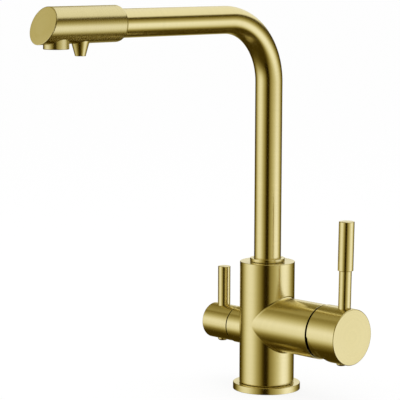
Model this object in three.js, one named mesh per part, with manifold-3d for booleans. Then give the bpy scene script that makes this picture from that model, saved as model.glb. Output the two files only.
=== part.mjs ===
// Three way filtered kitchen tap: one mixer lever for hot and cold water on the right arm,
// a quarter turn valve for filtered water on the left arm, and a swivelling spout with two outlets.
// Millimetres, +Z up, origin in the middle of the underside. The mixer arm points along +X,
// the filter valve arm along -X and the spout along -Y.

import * as THREE from 'three';
import { mergeVertices } from 'three/addons/utils/BufferGeometryUtils.js';
import Module from 'manifold-3d';

const wasm = await Module();
wasm.setup();

// ---------------------------------------------------------------- driving dimensions

const GAP = 0.3;                    // running and seating clearance between neighbours
const SEAL_EASE = 0.1;              // an O-ring stands this far proud of its groove
const O_RING_HEIGHT = 2;

// body and base
const BODY_R = 25;
const BODY_WALL = 3.5;
const BODY_TOP = 118;
const BODY_ROOF_THICKNESS = 5;
const BODY_FOOT_CHAMFER = 0.8;
const FLANGE_R = 30.8;
const FLANGE_HEIGHT = 6;
const FLANGE_CHAMFER = 0.6;
const SPIGOT_R = 22.6;              // body spigot that passes through the flange
const SPIGOT_WALL = 3.2;
const GASKET_INNER_R = 26;
const GASKET_WIDTH = 2.2;
const GASKET_HEIGHT = 2;

// inlet plate in the body's foot, with its hose ports and stud socket
const PLATE_HEIGHT = 11.5;
const PORT_R = 5;
const PORT_DEPTH = 8;
const SUPPLY_PORT_X = 5;            // hot and cold hose ports
const FILTER_PORT_X = -11.5;
const STUD_R = 3.4;
const STUD_X = 12.8;
const STUD_DEPTH = 9;

// water pipes inside the body
const PIPE_R = 4;
const PIPE_WALL = 1;
const PIPE_BEND = 9;
const THIN_PIPE_R = 3;
const THIN_PIPE_WALL = 0.9;
const THIN_PIPE_BEND = 5.8;
const PIPE_INSERT = 2.5;            // depth of the socket that each pipe's end sits in

// mixer arm, along +X
const ARM_Z = 62.2;
const ARM_R = 24.6;
const ARM_WALL = 3.3;
const ARM_END = 69.7;
const SEAT_FROM = 28;
const SEAT_TO = 43;
const INLET_UP = -5.5;              // hot and cold ports, below the arm's axis
const INLET_SIDE = 8.5;             // and to either side of it
const OUTLET_UP = 9;                // mixed water port, above the arm's axis
const PORT_BORE_R = 3.2;

// mixer cartridge
const CARTRIDGE_R = 17.4;
const CARTRIDGE_WALL = 1.3;
const CARTRIDGE_BASE_LENGTH = 6.8;
const SEAL_THICKNESS = 1.2;
const SEAL_SECTION = 1.6;
const FIXED_DISC_R = 15;
const FIXED_DISC_THICKNESS = 4.3;
const MOVING_DISC_R = 11.5;
const MOVING_DISC_THICKNESS = 4.4;
const MOVING_DISC_OFFSET = -2.6;    // the closed disc sits low, over the inlet ports
const MIXING_CHAMBER_R = 6;
const MIXING_CHAMBER_DEPTH = 0.8;
const ROTOR_PLATE = 2.7;
const ROTOR_SLOT = [-8, 10];        // the stem swings in this slot, below and above the axis
const NECK_R = 13.6;
const NECK_WALL = 1.6;
const NECK_TO = 77.5;
const ROTOR_TO = 78.5;
const TILT_CENTRE = 74;             // along the arm, where the pivot pin crosses
const STEM_SIZE = 8;
const STEM_SQUARE_FROM = 68;
const STEM_TO = 99;
const STEM_NECK_R = 1.7;
const STEM_ROOT_R = 3.6;
const STEM_ROOT_AT = 66.5;
const BALL_R = 2.4;
const BALL_AT = 59.2;
const BALL_SOCKET_GAP = 0.5;
const PIN_R = 1.5;
const NUT_FROM = 64.5;
const NUT_SPIGOT_R = 18;
const NUT_SPIGOT_TO = 75;
const SPANNER_SLOT_WIDTH = 4;
const SPANNER_SLOT_DEPTH = 2.5;
const DOME_CLEARANCE = 0.35;        // between the ball and the bore of the cap that turns on it
const DOME_BALL_LENGTH = 3.5;       // in front of the tilt centre, where its conical nose starts
const DOME_FRONT = 81.8;
const DOME_NOSE_R = 15.6;
const DOME_OPENING_R = 15;

// mixer cap and lever
const CAP_R = 25.15;
const CAP_WALL = 1.2;
const CAP_FROM = 71;
const CAP_TO = 104.5;
const CAP_CHAMFER = 0.5;
const CAP_END_WALL = 4.5;
const CAP_RIM_SLOPE = 0.6;          // the lower rear rim leans outwards so that the cap can tilt
const BOSS_R = 9;
const BOSS_FROM = 89;
const LEVER_AT = 94.8;
const ROD_R = 5.6;
const ROD_FOOT_UP = 13.5;
const ROD_SOCKET_WALL = 1.9;
const ROD_SHOULDER_Z = 120.7;
const ROD_SPIGOT_R = 4;
const GRIP_R = 6.9;
const GRIP_TOP_Z = 165.2;
const GRIP_CHAMFER = 0.8;
const GRIP_BORE_DEPTH = 28;
const CAP_SCREW_AT = 92;
const SCREW_RIB_HALF = 5;
const SCREW_RIB_FROM = 88.8;
const SCREW_RIB_TO = 95.6;
const CAP_SCREW_R = 2.5;
const CAP_SCREW_LENGTH = 10;
const CAP_SCREW_KEY_R = 1.5;        // hexagon socket
const CAP_SCREW_TO_PLUG = 1.85;     // left free between the grub screw and its plug
const PLUG_R = 4.4;
const PLUG_HEIGHT = 1.8;
const PLUG_ROUND = 1;

// filter valve arm, along -X
const VALVE_Z = 54.4;
const VALVE_ARM_R = 16.85;
const VALVE_ARM_WALL = 3.3;
const VALVE_ARM_END = 36.6;
const VALVE_SEAT_FROM = 20.6;
const VALVE_SEAT_TO = 27;
const VALVE_PORT_UP = 5;
const VALVE_PORT_R = 1.9;
const VALVE_DISC_R = 8.3;
const VALVE_DISC_THICKNESS = 2.5;
const HEADWORK_NECK_R = 9;
const HEADWORK_WEB = 1.4;
const HEADWORK_TO = 46;
const SPINDLE_RING_FROM = 40;
const SPINDLE_R = 4;
const SPINDLE_SQUARE = 6;
const SPINDLE_TO = 62;
const KEY_WIDTH = 2.4;
const KEY_LENGTH = 10;
const KEY_HEIGHT = 1;
const GROOVE_WIDTH = 3.2;
const GROOVE_DEPTH = 1;
const CLIP_R = 6.2;
const CLIP_THICKNESS = 0.8;
const VALVE_CAP_R = 16.3;
const VALVE_CAP_WALL = 1.6;
const VALVE_CAP_FROM = 37.4;
const VALVE_CAP_TO = 68.5;
const VALVE_CAP_ROUND = 1.2;
const VALVE_CAP_CAVITY_TO = 50;
const VALVE_LEVER_AT = 56;
const VALVE_LEVER_R = 5.8;
const VALVE_LEVER_FOOT_UP = 8.3;
const VALVE_LEVER_TOP_Z = 107.4;
const VALVE_SCREW_AT = 57.5;
const VALVE_SCREW_R = 2;
const VALVE_SCREW_LENGTH = 7.5;
const VALVE_SCREW_KEY_R = 1.2;
const VALVE_SCREW_TO_PLUG = 1.5;

// spout
const TUBE_R = 12.27;
const TUBE_WALL = 1.37;
const SPOUT_Z = 338.5;
const SPOUT_BEND = 57;
const COLLAR_R = 15.9;
const COLLAR_HEIGHT = 2.9;
const NUT_THREAD_R = 14.8;
const NUT_THREAD_DEPTH = 9.5;
const SOCKET_R = 14;
const SOCKET_WALL = 3.5;
const SOCKET_FLOOR = 84;
const SOCKET_FLOOR_THICKNESS = 4;
const MIXED_X = 11;                 // mixed water enters the socket beside the filtered water
const MIXED_PIPE_R = 3.6;
const MIXED_BORE_R = 2.4;
const MIXED_PIPE_BEND = 7;
const FOOT_FROM = 86.5;
const FOOT_TO = 106;
const TUBE_FROM = 100.3;
const FOOT_GROOVE_DEPTH = 1.7;
const INNER_PIPE_SOCKET = 4;
const WATERWAY_R = 2.6;             // three holes for mixed water through the spout's foot
const WATERWAY_AT = 7.8;
const SPOUT_SPIGOT_R = 5;
const SPIGOT_GROOVE_DEPTH = 1;
const FILTER_BOSS_R = 6.6;
const FILTER_BOSS_DEPTH = 6;

// spout head
const HEAD_R = 15.43;
const HEAD_WALL = 2.2;
const HEAD_FROM = 182.7;
const HEAD_SHOULDER_R = 4;
const HEAD_FACE_AT = 262.4;         // where the slanted face crosses the spout's axis
const HEAD_FACE_LEAN = THREE.MathUtils.degToRad(20.8);
const HEAD_LIP = 1.7;
const HEAD_SHOULDER_TURN = 70;      // degrees of the rounded shoulder
const HEAD_RING_FROM = 187.7;
const HEAD_RING_SHARE = 5 / 13;     // of the head's wall over the tube, taken by the O-ring
const HEAD_REAR_RIM = 0.2;          // flat left inside the rounded shoulder
const TUBE_INSERT = 11.3;
const END_CAP_THICKNESS = 2;
const END_CAP_SPIGOT = 2;
const AERATOR_AT = 248.5;
const AERATOR_R = 10.7;
const AERATOR_THREAD_R = 9.7;
const AERATOR_BOTTOM_Z = 319.1;
const AERATOR_TOP_Z = 331;
const AERATOR_BORE_R = 8.4;
const AERATOR_BOSS_TOP_Z = 335;
const AERATOR_BOSS_R = 12.4;
const AERATOR_LEDGE_R = 6.5;
const INSERT_RECESS = 1.2;
const INSERT_HOLE_R = 0.9;
const INSERT_HOLES = [[1, 0], [5, 3], [10, 5.9]];   // rings of holes: how many, and how far out
const SEAL_HEIGHT = 1.5;
const NOZZLE_AT = 222.8;
const NOZZLE_TIP_R = 4.4;
const NOZZLE_TOP_R = 8.5;
const NOZZLE_TIP_Z = 312.7;
const NOZZLE_TOP_Z = 325;
const NOZZLE_THREAD_R = 4.7;
const NOZZLE_THREAD_TO_Z = 331;
const NOZZLE_BOSS_R = 7;
const NOZZLE_BORE_R = 2;
const NOZZLE_MOUTH_R = 3.2;
const NOZZLE_MOUTH_DEPTH = 3.3;
const JET_RECESS = 0.4;
const JET_HOLE_R = 0.6;
const JET_HOLES = [[4, 1.4]];
const CONNECTOR_R = 5.5;
const CONNECTOR_BACK = 10;
const CONNECTOR_BARREL_R = 5;

// facets around round pieces
const SIDES_LARGE = 32;
const SIDES_MEDIUM = 24;
const SIDES_SMALL = 12;
const SIDES_TINY = 8;

// ---------------------------------------------------------------- materials

const finish = (color, roughness, metalness) => () =>
  new THREE.MeshStandardMaterial({ color, roughness, metalness });
const brushedGold = finish(0xc8b06a, 0.34, 1);
const rawBrass = finish(0xb08d4a, 0.45, 1);
const copper = finish(0xb87350, 0.4, 1);
const steel = finish(0xb9bcc0, 0.35, 1);
const ceramic = finish(0xe9e6de, 0.25, 0);
const blackRubber = finish(0x1c1c1c, 0.8, 0);
const whitePlastic = finish(0xe4e4e0, 0.5, 0);
const greyPlastic = finish(0x8a8d8f, 0.55, 0);

// ---------------------------------------------------------------- solids

/** A closed solid from a three.js geometry, moved by an optional frame. */
function solid(geometry, frame) {
  const bare = geometry.clone();
  bare.deleteAttribute('normal');
  bare.deleteAttribute('uv');
  if (frame) bare.applyMatrix4(frame);
  const merged = mergeVertices(bare, 1e-4);
  const points = merged.getAttribute('position').array;
  const corners = merged.index.array;
  const triangles = [];
  let volume = 0;
  for (let i = 0; i < corners.length; i += 3) {
    const [a, b, c] = [corners[i], corners[i + 1], corners[i + 2]];
    if (a === b || b === c || c === a) continue;
    triangles.push(a, b, c);
    const [p, q, r] = [a, b, c].map((k) => new THREE.Vector3().fromArray(points, 3 * k));
    volume += p.dot(q.cross(r));
  }
  if (volume < 0) triangles.reverse();
  return new wasm.Manifold(new wasm.Mesh({
    numProp: 3,
    vertProperties: new Float32Array(points),
    triVerts: new Uint32Array(triangles),
  }));
}

/** Turns an outline of [radius, height] points about the Z axis. */
function turned(outline, sides, frame) {
  const geometry = new THREE.LatheGeometry(outline.map(([r, z]) => new THREE.Vector2(r, z)), sides);
  geometry.rotateX(Math.PI / 2);
  return solid(geometry, frame);
}

/** A solid round bar, with an optional chamfer at its far end. */
function bar(radius, from, to, sides, frame, chamfer = 0) {
  const end = chamfer > 0 ? [[radius, to - chamfer], [radius - chamfer, to]] : [[radius, to]];
  return turned([[0, from], [radius, from], ...end, [0, to]], sides, frame);
}

/** A ring between two radii. */
function ring(inner, outer, from, to, sides, frame) {
  return turned([[inner, from], [outer, from], [outer, to], [inner, to], [inner, from]], sides, frame);
}

/** A block given by its lowest and highest corners. */
function block(low, high, frame) {
  const size = high.map((value, i) => value - low[i]);
  const geometry = new THREE.BoxGeometry(...size);
  geometry.translate(...low.map((value, i) => value + size[i] / 2));
  return solid(geometry, frame);
}

/** Points on an arc, as [radius, height] pairs, from one angle to another in degrees. */
function arc(centreR, centreZ, radius, fromDeg, toDeg, steps) {
  return Array.from({ length: steps + 1 }, (_, i) => {
    const angle = THREE.MathUtils.degToRad(fromDeg + (toDeg - fromDeg) * i / steps);
    return [centreR + radius * Math.cos(angle), centreZ + radius * Math.sin(angle)];
  });
}

/** A pipe's centre line: straight runs between corners, each corner rounded to one radius. */
class Route extends THREE.Curve {
  constructor(corners, bend, stepsPerBend) {
    super();
    this.stations = [corners[0]];
    this.headings = [corners[1].clone().sub(corners[0]).normalize()];
    for (let i = 1; i < corners.length - 1; i++) {
      const before = corners[i].clone().sub(corners[i - 1]).normalize();
      const after = corners[i + 1].clone().sub(corners[i]).normalize();
      const turn = before.angleTo(after);
      const start = corners[i].clone().addScaledVector(before, -bend * Math.tan(turn / 2));
      const inward = after.clone().addScaledVector(before, -after.dot(before)).normalize();
      for (let k = 0; k <= stepsPerBend; k++) {
        const angle = turn * k / stepsPerBend;
        this.stations.push(start.clone()
          .addScaledVector(before, bend * Math.sin(angle))
          .addScaledVector(inward, bend * (1 - Math.cos(angle))));
        this.headings.push(before.clone().multiplyScalar(Math.cos(angle))
          .addScaledVector(inward, Math.sin(angle)));
      }
    }
    this.stations.push(corners[corners.length - 1]);
    this.headings.push(this.headings[this.headings.length - 1].clone());
    this.steps = this.stations.length - 1;
  }

  at(list, t, target) {
    const place = Math.min(t, 1) * this.steps;
    const index = Math.min(Math.floor(place), this.steps - 1);
    return target.lerpVectors(list[index], list[index + 1], place - index);
  }

  getPoint(t, target = new THREE.Vector3()) {
    return this.at(this.stations, t, target);
  }

  getTangent(t, target = new THREE.Vector3()) {
    return this.at(this.headings, t, target).normalize();
  }

  getUtoTmapping(u) {
    return u;                       // one step from each station to the next
  }
}

/** A round pipe along a route. */
function pipe(corners, bend, radius, wall, sides, stepsPerBend) {
  const route = new Route(corners.map((p) => new THREE.Vector3(...p)), bend, stepsPerBend);
  const circle = (r) => Array.from({ length: sides }, (_, i) => {
    const angle = 2 * Math.PI * i / sides;
    return new THREE.Vector2(r * Math.cos(angle), r * Math.sin(angle));
  });
  const section = new THREE.Shape(circle(radius));
  section.holes.push(new THREE.Path(circle(radius - wall)));
  return solid(new THREE.ExtrudeGeometry(section, { steps: route.steps, extrudePath: route }));
}

const joined = (first, ...others) => others.reduce((sum, next) => sum.add(next), first);
const cut = (first, ...others) => others.reduce((rest, next) => rest.subtract(next), first);

/** Adds a solid to a group as a named mesh with its own material. */
function piece(group, name, body, material) {
  const mesh = body.getMesh();
  const geometry = new THREE.BufferGeometry();
  geometry.setAttribute('position', new THREE.BufferAttribute(new Float32Array(mesh.vertProperties), 3));
  geometry.setIndex(new THREE.BufferAttribute(new Uint32Array(mesh.triVerts), 1));
  geometry.computeVertexNormals();
  const node = new THREE.Mesh(geometry, material());
  node.name = name;
  group.add(node);
  return node;
}

// ---------------------------------------------------------------- frames

// In both arm frames x points up, z points out of the body and the origin is on the tap's axis.
const up = new THREE.Vector3(0, 0, 1);
const armFrame = (outward, height) => new THREE.Matrix4()
  .makeBasis(up, outward.clone().cross(up), outward)
  .setPosition(0, 0, height);
const mixerFrame = armFrame(new THREE.Vector3(1, 0, 0), ARM_Z);
const valveFrame = armFrame(new THREE.Vector3(-1, 0, 0), VALVE_Z);

const at = (x, y, z = 0) => new THREE.Matrix4().makeTranslation(x, y, z);
const placedIn = (frame, ...moves) => moves.reduce((sum, move) => sum.clone().multiply(move), frame);

// In this frame z runs along the spout from the tap's axis and x points up.
const spoutFrame = armFrame(new THREE.Vector3(0, -1, 0), SPOUT_Z);

const tap = new THREE.Group();
const mixer = new THREE.Group();
mixer.applyMatrix4(mixerFrame);
const valve = new THREE.Group();
valve.applyMatrix4(valveFrame);
const spout = new THREE.Group();
tap.add(mixer, valve, spout);

// What is turned upwards out of an arm, such as a lever, has its z along the arm frame's x.
const upright = (along) => at(0, 0, along).multiply(new THREE.Matrix4().makeRotationY(Math.PI / 2));

// ---------------------------------------------------------------- base

const BASE_TOP = FLANGE_HEIGHT + GAP;
const PIPE_START = PLATE_HEIGHT - PIPE_INSERT + GAP;

piece(tap, 'base_flange', cut(
  turned([
    [SPIGOT_R + GAP, 0], [FLANGE_R, 0], [FLANGE_R, FLANGE_HEIGHT - FLANGE_CHAMFER],
    [FLANGE_R - FLANGE_CHAMFER, FLANGE_HEIGHT], [SPIGOT_R + GAP, FLANGE_HEIGHT], [SPIGOT_R + GAP, 0],
  ], SIDES_LARGE),
  ring(GASKET_INNER_R - GAP, GASKET_INNER_R + GASKET_WIDTH + GAP, -1, GASKET_HEIGHT + GAP, SIDES_LARGE),
), brushedGold);

piece(tap, 'base_gasket',
  ring(GASKET_INNER_R, GASKET_INNER_R + GASKET_WIDTH, 0, GASKET_HEIGHT, SIDES_LARGE), blackRubber);

// each hose port: its place, and the radius of the pipe that leaves its top
const ports = [
  { x: SUPPLY_PORT_X, y: INLET_SIDE, pipeR: PIPE_R, boreR: PIPE_R - PIPE_WALL },
  { x: SUPPLY_PORT_X, y: -INLET_SIDE, pipeR: PIPE_R, boreR: PIPE_R - PIPE_WALL },
  { x: FILTER_PORT_X, y: 0, pipeR: THIN_PIPE_R, boreR: THIN_PIPE_R - THIN_PIPE_WALL },
];
const PLATE_R = SPIGOT_R - SPIGOT_WALL - GAP;
piece(tap, 'inlet_plate', cut(
  bar(PLATE_R, 0, PLATE_HEIGHT, SIDES_MEDIUM),
  bar(STUD_R, -1, STUD_DEPTH, SIDES_SMALL, at(STUD_X, 0)),
  ...ports.flatMap(({ x, y, pipeR, boreR }) => [
    bar(PORT_R, -1, PORT_DEPTH, SIDES_SMALL, at(x, y)),
    bar(boreR, PORT_DEPTH - 1, PLATE_HEIGHT, SIDES_TINY, at(x, y)),
    bar(pipeR + GAP, PLATE_HEIGHT - PIPE_INSERT, PLATE_HEIGHT + 1, SIDES_SMALL, at(x, y)),
  ]),
), rawBrass);

// ---------------------------------------------------------------- main body

const BODY_INNER_R = BODY_R - BODY_WALL;
const ARM_BORE_R = ARM_R - ARM_WALL;
const VALVE_BORE_R = VALVE_ARM_R - VALVE_ARM_WALL;
const SOCKET_UNDERSIDE = SOCKET_FLOOR - SOCKET_FLOOR_THICKNESS;
const BODY_ROOF = BODY_TOP - BODY_ROOF_THICKNESS;
const PASSAGE_R = 17;               // opening between the body and the mixer arm
const PASSAGE_FROM = 10;
const ARM_BORE_FROM = 22;           // clear of the spout socket's wall
const VALVE_BORE_FROM = 12;
const NUT_BORE_FROM = BODY_TOP - NUT_THREAD_DEPTH - GAP;
const MIXED_PIPE_END = SOCKET_UNDERSIDE + SOCKET_FLOOR_THICKNESS / 2;
const FILTER_PIPE_END = SOCKET_UNDERSIDE - FILTER_BOSS_DEPTH + PIPE_INSERT;
const SPIGOT_HOLE_FROM = SOCKET_UNDERSIDE - 0.5;

const bodyOutside = turned([
  [0, 0], [SPIGOT_R, 0], [SPIGOT_R, BASE_TOP], [BODY_R - BODY_FOOT_CHAMFER, BASE_TOP],
  [BODY_R, BASE_TOP + BODY_FOOT_CHAMFER], [BODY_R, BODY_TOP - CAP_CHAMFER],
  [BODY_R - CAP_CHAMFER, BODY_TOP], [0, BODY_TOP],
], SIDES_LARGE);
// the hollow goes round the spout socket and round the small boss under its floor
const bodyInside = turned([
  [0, PLATE_HEIGHT + GAP], [BODY_INNER_R, PLATE_HEIGHT + GAP], [BODY_INNER_R, BODY_ROOF],
  [SOCKET_R + SOCKET_WALL, BODY_ROOF], [SOCKET_R + SOCKET_WALL, SOCKET_UNDERSIDE],
  [FILTER_BOSS_R, SOCKET_UNDERSIDE], [FILTER_BOSS_R, SOCKET_UNDERSIDE - FILTER_BOSS_DEPTH],
  [0, SOCKET_UNDERSIDE - FILTER_BOSS_DEPTH],
], SIDES_MEDIUM);

piece(tap, 'main_body', cut(
  joined(
    bodyOutside,
    bar(ARM_R, 0, ARM_END, SIDES_LARGE, mixerFrame),
    bar(VALVE_ARM_R, 0, VALVE_ARM_END, SIDES_MEDIUM, valveFrame),
  ),
  bodyInside,
  bar(PLATE_R + GAP, -1, PLATE_HEIGHT + 1, SIDES_MEDIUM),
  bar(PASSAGE_R, PASSAGE_FROM, ARM_BORE_FROM + 1, SIDES_MEDIUM, mixerFrame),
  bar(ARM_BORE_R, ARM_BORE_FROM, ARM_END + 1, SIDES_MEDIUM, mixerFrame),
  bar(VALVE_BORE_R, VALVE_BORE_FROM, VALVE_ARM_END + 1, SIDES_MEDIUM, valveFrame),
  bar(SOCKET_R, SOCKET_FLOOR, BODY_TOP + 1, SIDES_MEDIUM),
  bar(NUT_THREAD_R + GAP, NUT_BORE_FROM, BODY_TOP + 1, SIDES_MEDIUM),
  bar(SPOUT_SPIGOT_R + GAP, SPIGOT_HOLE_FROM, SOCKET_FLOOR + 1, SIDES_MEDIUM),
  bar(THIN_PIPE_R - THIN_PIPE_WALL, FILTER_PIPE_END, SOCKET_FLOOR, SIDES_TINY),
  bar(THIN_PIPE_R + GAP, SOCKET_UNDERSIDE - FILTER_BOSS_DEPTH - 1, FILTER_PIPE_END + GAP, SIDES_SMALL),
  bar(MIXED_PIPE_R + GAP, SOCKET_UNDERSIDE - 1, MIXED_PIPE_END + GAP, SIDES_SMALL, at(MIXED_X, 0)),
  bar(MIXED_BORE_R, MIXED_PIPE_END, SOCKET_FLOOR + 1, SIDES_TINY, at(MIXED_X, 0)),
), brushedGold);

// ---------------------------------------------------------------- pipes inside the body

const INLET_Z = ARM_Z + INLET_UP;
const MIXER_PIPE_END = SEAT_FROM + PIPE_INSERT - GAP;
const VALVE_PIPE_END = VALVE_SEAT_FROM + PIPE_INSERT - GAP;

for (const [name, y] of [['cold_supply_pipe', INLET_SIDE], ['hot_supply_pipe', -INLET_SIDE]]) {
  piece(tap, name, pipe([
    [SUPPLY_PORT_X, y, PIPE_START], [SUPPLY_PORT_X, y, INLET_Z], [MIXER_PIPE_END, y, INLET_Z],
  ], PIPE_BEND, PIPE_R, PIPE_WALL, SIDES_TINY, 3), copper);
}
piece(tap, 'mixed_water_pipe', pipe([
  [MIXER_PIPE_END, 0, ARM_Z + OUTLET_UP], [MIXED_X, 0, ARM_Z + OUTLET_UP], [MIXED_X, 0, MIXED_PIPE_END],
], MIXED_PIPE_BEND, MIXED_PIPE_R, PIPE_WALL, SIDES_TINY, 3), copper);
piece(tap, 'filter_supply_pipe', pipe([
  [FILTER_PORT_X, 0, PIPE_START], [FILTER_PORT_X, 0, VALVE_Z - VALVE_PORT_UP],
  [-VALVE_PIPE_END, 0, VALVE_Z - VALVE_PORT_UP],
], THIN_PIPE_BEND, THIN_PIPE_R, THIN_PIPE_WALL, SIDES_TINY, 3), copper);
piece(tap, 'filtered_water_pipe', pipe([
  [-VALVE_PIPE_END, 0, VALVE_Z + VALVE_PORT_UP], [0, 0, VALVE_Z + VALVE_PORT_UP], [0, 0, FILTER_PIPE_END],
], THIN_PIPE_BEND, THIN_PIPE_R, THIN_PIPE_WALL, SIDES_TINY, 3), copper);

// ---------------------------------------------------------------- mixer cartridge, from its seat outwards

const mixerPorts = [
  ['hot', INLET_UP, INLET_SIDE, PIPE_R],
  ['cold', INLET_UP, -INLET_SIDE, PIPE_R],
  ['outlet', OUTLET_UP, 0, MIXED_PIPE_R],
];
const SEAT_R = ARM_BORE_R - GAP;
piece(mixer, 'cartridge_seat', cut(
  bar(SEAT_R, SEAT_FROM, SEAT_TO, SIDES_MEDIUM),
  ...mixerPorts.flatMap(([, x, y, pipeR]) => [
    bar(PORT_BORE_R, SEAT_FROM - 1, SEAT_TO + 1, SIDES_TINY, at(x, y)),
    bar(pipeR + GAP, SEAT_FROM - 1, SEAT_FROM + PIPE_INSERT, SIDES_SMALL, at(x, y)),
  ]),
), rawBrass);

const BASE_FROM = SEAT_TO + GAP;
const BASE_TO = BASE_FROM + CARTRIDGE_BASE_LENGTH;
const SEAL_INNER_R = PORT_BORE_R + GAP;
const SEAL_OUTER_R = SEAL_INNER_R + SEAL_SECTION;
piece(mixer, 'cartridge_base', cut(
  bar(CARTRIDGE_R, BASE_FROM, BASE_TO, SIDES_MEDIUM),
  ...mixerPorts.flatMap(([, x, y]) => [
    bar(PORT_BORE_R, BASE_FROM - 1, BASE_TO + 1, SIDES_TINY, at(x, y)),
    bar(SEAL_OUTER_R + GAP, BASE_FROM - 1, BASE_FROM + SEAL_THICKNESS + GAP, SIDES_SMALL, at(x, y)),
  ]),
), whitePlastic);
for (const [name, x, y] of mixerPorts) {
  piece(mixer, `port_seal_${name}`,
    ring(SEAL_INNER_R, SEAL_OUTER_R, BASE_FROM, BASE_FROM + SEAL_THICKNESS, SIDES_TINY, at(x, y)),
    blackRubber);
}

const FIXED_DISC_FROM = BASE_TO + GAP;
const FIXED_DISC_TO = FIXED_DISC_FROM + FIXED_DISC_THICKNESS;
piece(mixer, 'fixed_ceramic_disc', cut(
  bar(FIXED_DISC_R, FIXED_DISC_FROM, FIXED_DISC_TO, SIDES_MEDIUM),
  ...mixerPorts.map(([, x, y]) =>
    bar(PORT_BORE_R, FIXED_DISC_FROM - 1, FIXED_DISC_TO + 1, SIDES_TINY, at(x, y))),
), ceramic);

const MOVING_DISC_FROM = FIXED_DISC_TO + GAP;
const MOVING_DISC_TO = MOVING_DISC_FROM + MOVING_DISC_THICKNESS;
piece(mixer, 'moving_ceramic_disc', cut(
  bar(MOVING_DISC_R, MOVING_DISC_FROM, MOVING_DISC_TO, SIDES_MEDIUM, at(MOVING_DISC_OFFSET, 0)),
  bar(MIXING_CHAMBER_R, MOVING_DISC_FROM - 1, MOVING_DISC_FROM + MIXING_CHAMBER_DEPTH,
    SIDES_SMALL, at(MOVING_DISC_OFFSET, 0)),
  bar(BALL_R + BALL_SOCKET_GAP, BALL_AT - BALL_R - BALL_SOCKET_GAP, MOVING_DISC_TO + 1, SIDES_SMALL),
), ceramic);

const PLATE_FROM = MOVING_DISC_TO + GAP;
const PLATE_TO = PLATE_FROM + ROTOR_PLATE;
const SHELL_INNER_R = CARTRIDGE_R - CARTRIDGE_WALL;
const NECK_INNER_R = NECK_R - NECK_WALL;
piece(mixer, 'cartridge_shell', turned([
  [SHELL_INNER_R, FIXED_DISC_FROM], [CARTRIDGE_R, FIXED_DISC_FROM], [CARTRIDGE_R, NUT_FROM - GAP],
  [NECK_R, NUT_FROM - GAP], [NECK_R, NECK_TO], [NECK_INNER_R, NECK_TO],
  [NECK_INNER_R, PLATE_TO + GAP], [SHELL_INNER_R, PLATE_TO + GAP], [SHELL_INNER_R, FIXED_DISC_FROM],
], SIDES_MEDIUM), greyPlastic);

const ROTOR_R = NECK_INNER_R - GAP;
const STEM_HALF = STEM_SIZE / 2;
const across = at(0, 0, TILT_CENTRE).multiply(new THREE.Matrix4().makeRotationX(Math.PI / 2));
piece(mixer, 'cartridge_rotor', cut(
  joined(
    bar(SHELL_INNER_R - GAP, PLATE_FROM, PLATE_TO, SIDES_MEDIUM),
    bar(ROTOR_R, PLATE_FROM, ROTOR_TO, SIDES_MEDIUM),
  ),
  block([ROTOR_SLOT[0], -STEM_HALF - GAP, PLATE_FROM - 1], [ROTOR_SLOT[1], STEM_HALF + GAP, ROTOR_TO + 1]),
  bar(PIN_R + GAP, -ROTOR_R - 1, ROTOR_R + 1, SIDES_TINY, across),
), whitePlastic);
piece(mixer, 'stem_pivot_pin', bar(PIN_R, -ROTOR_R + GAP, ROTOR_R - GAP, SIDES_TINY, across), steel);

piece(mixer, 'mixer_stem', cut(
  joined(
    turned([
      ...arc(0, BALL_AT, BALL_R, -90, 45, 6),
      [STEM_NECK_R, BALL_AT + BALL_R], [STEM_ROOT_R, STEM_ROOT_AT],
      [STEM_ROOT_R, STEM_SQUARE_FROM + 1], [0, STEM_SQUARE_FROM + 1],
    ], SIDES_SMALL),
    block([-STEM_HALF, -STEM_HALF, STEM_SQUARE_FROM], [STEM_HALF, STEM_HALF, STEM_TO]),
  ),
  bar(PIN_R + GAP, -STEM_SIZE, STEM_SIZE, SIDES_TINY, across),
), rawBrass);

// the ring that hides the lock nut is a ball about the tilt centre, so the cap can tilt round it
const CAP_INNER_R = CAP_R - CAP_WALL;
const DOME_R = CAP_INNER_R - DOME_CLEARANCE;
piece(mixer, 'cartridge_lock_nut', cut(
  turned([
    [NECK_R + GAP, NUT_FROM], [SEAT_R, NUT_FROM], [SEAT_R, ARM_END], [NUT_SPIGOT_R, ARM_END],
    [NUT_SPIGOT_R, NUT_SPIGOT_TO], [NECK_R + GAP, NUT_SPIGOT_TO], [NECK_R + GAP, NUT_FROM],
  ], SIDES_MEDIUM),
  block([-DOME_R, -SPANNER_SLOT_WIDTH / 2, NUT_SPIGOT_TO - SPANNER_SLOT_DEPTH],
    [DOME_R, SPANNER_SLOT_WIDTH / 2, NUT_SPIGOT_TO + 1]),
), rawBrass);

const DOME_FROM = ARM_END + GAP;
const domeAngle = (along) => THREE.MathUtils.radToDeg(Math.asin((along - TILT_CENTRE) / DOME_R));
piece(mixer, 'mixer_dome_ring', turned([
  [NUT_SPIGOT_R + GAP, DOME_FROM],
  ...arc(0, TILT_CENTRE, DOME_R, domeAngle(DOME_FROM), domeAngle(TILT_CENTRE + DOME_BALL_LENGTH), 3),
  [DOME_NOSE_R, DOME_FRONT], [DOME_OPENING_R, DOME_FRONT], [DOME_OPENING_R, NUT_SPIGOT_TO + GAP],
  [NUT_SPIGOT_R + GAP, NUT_SPIGOT_TO + GAP], [NUT_SPIGOT_R + GAP, DOME_FROM],
], SIDES_LARGE), brushedGold);

// ---------------------------------------------------------------- mixer cap and lever

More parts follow.
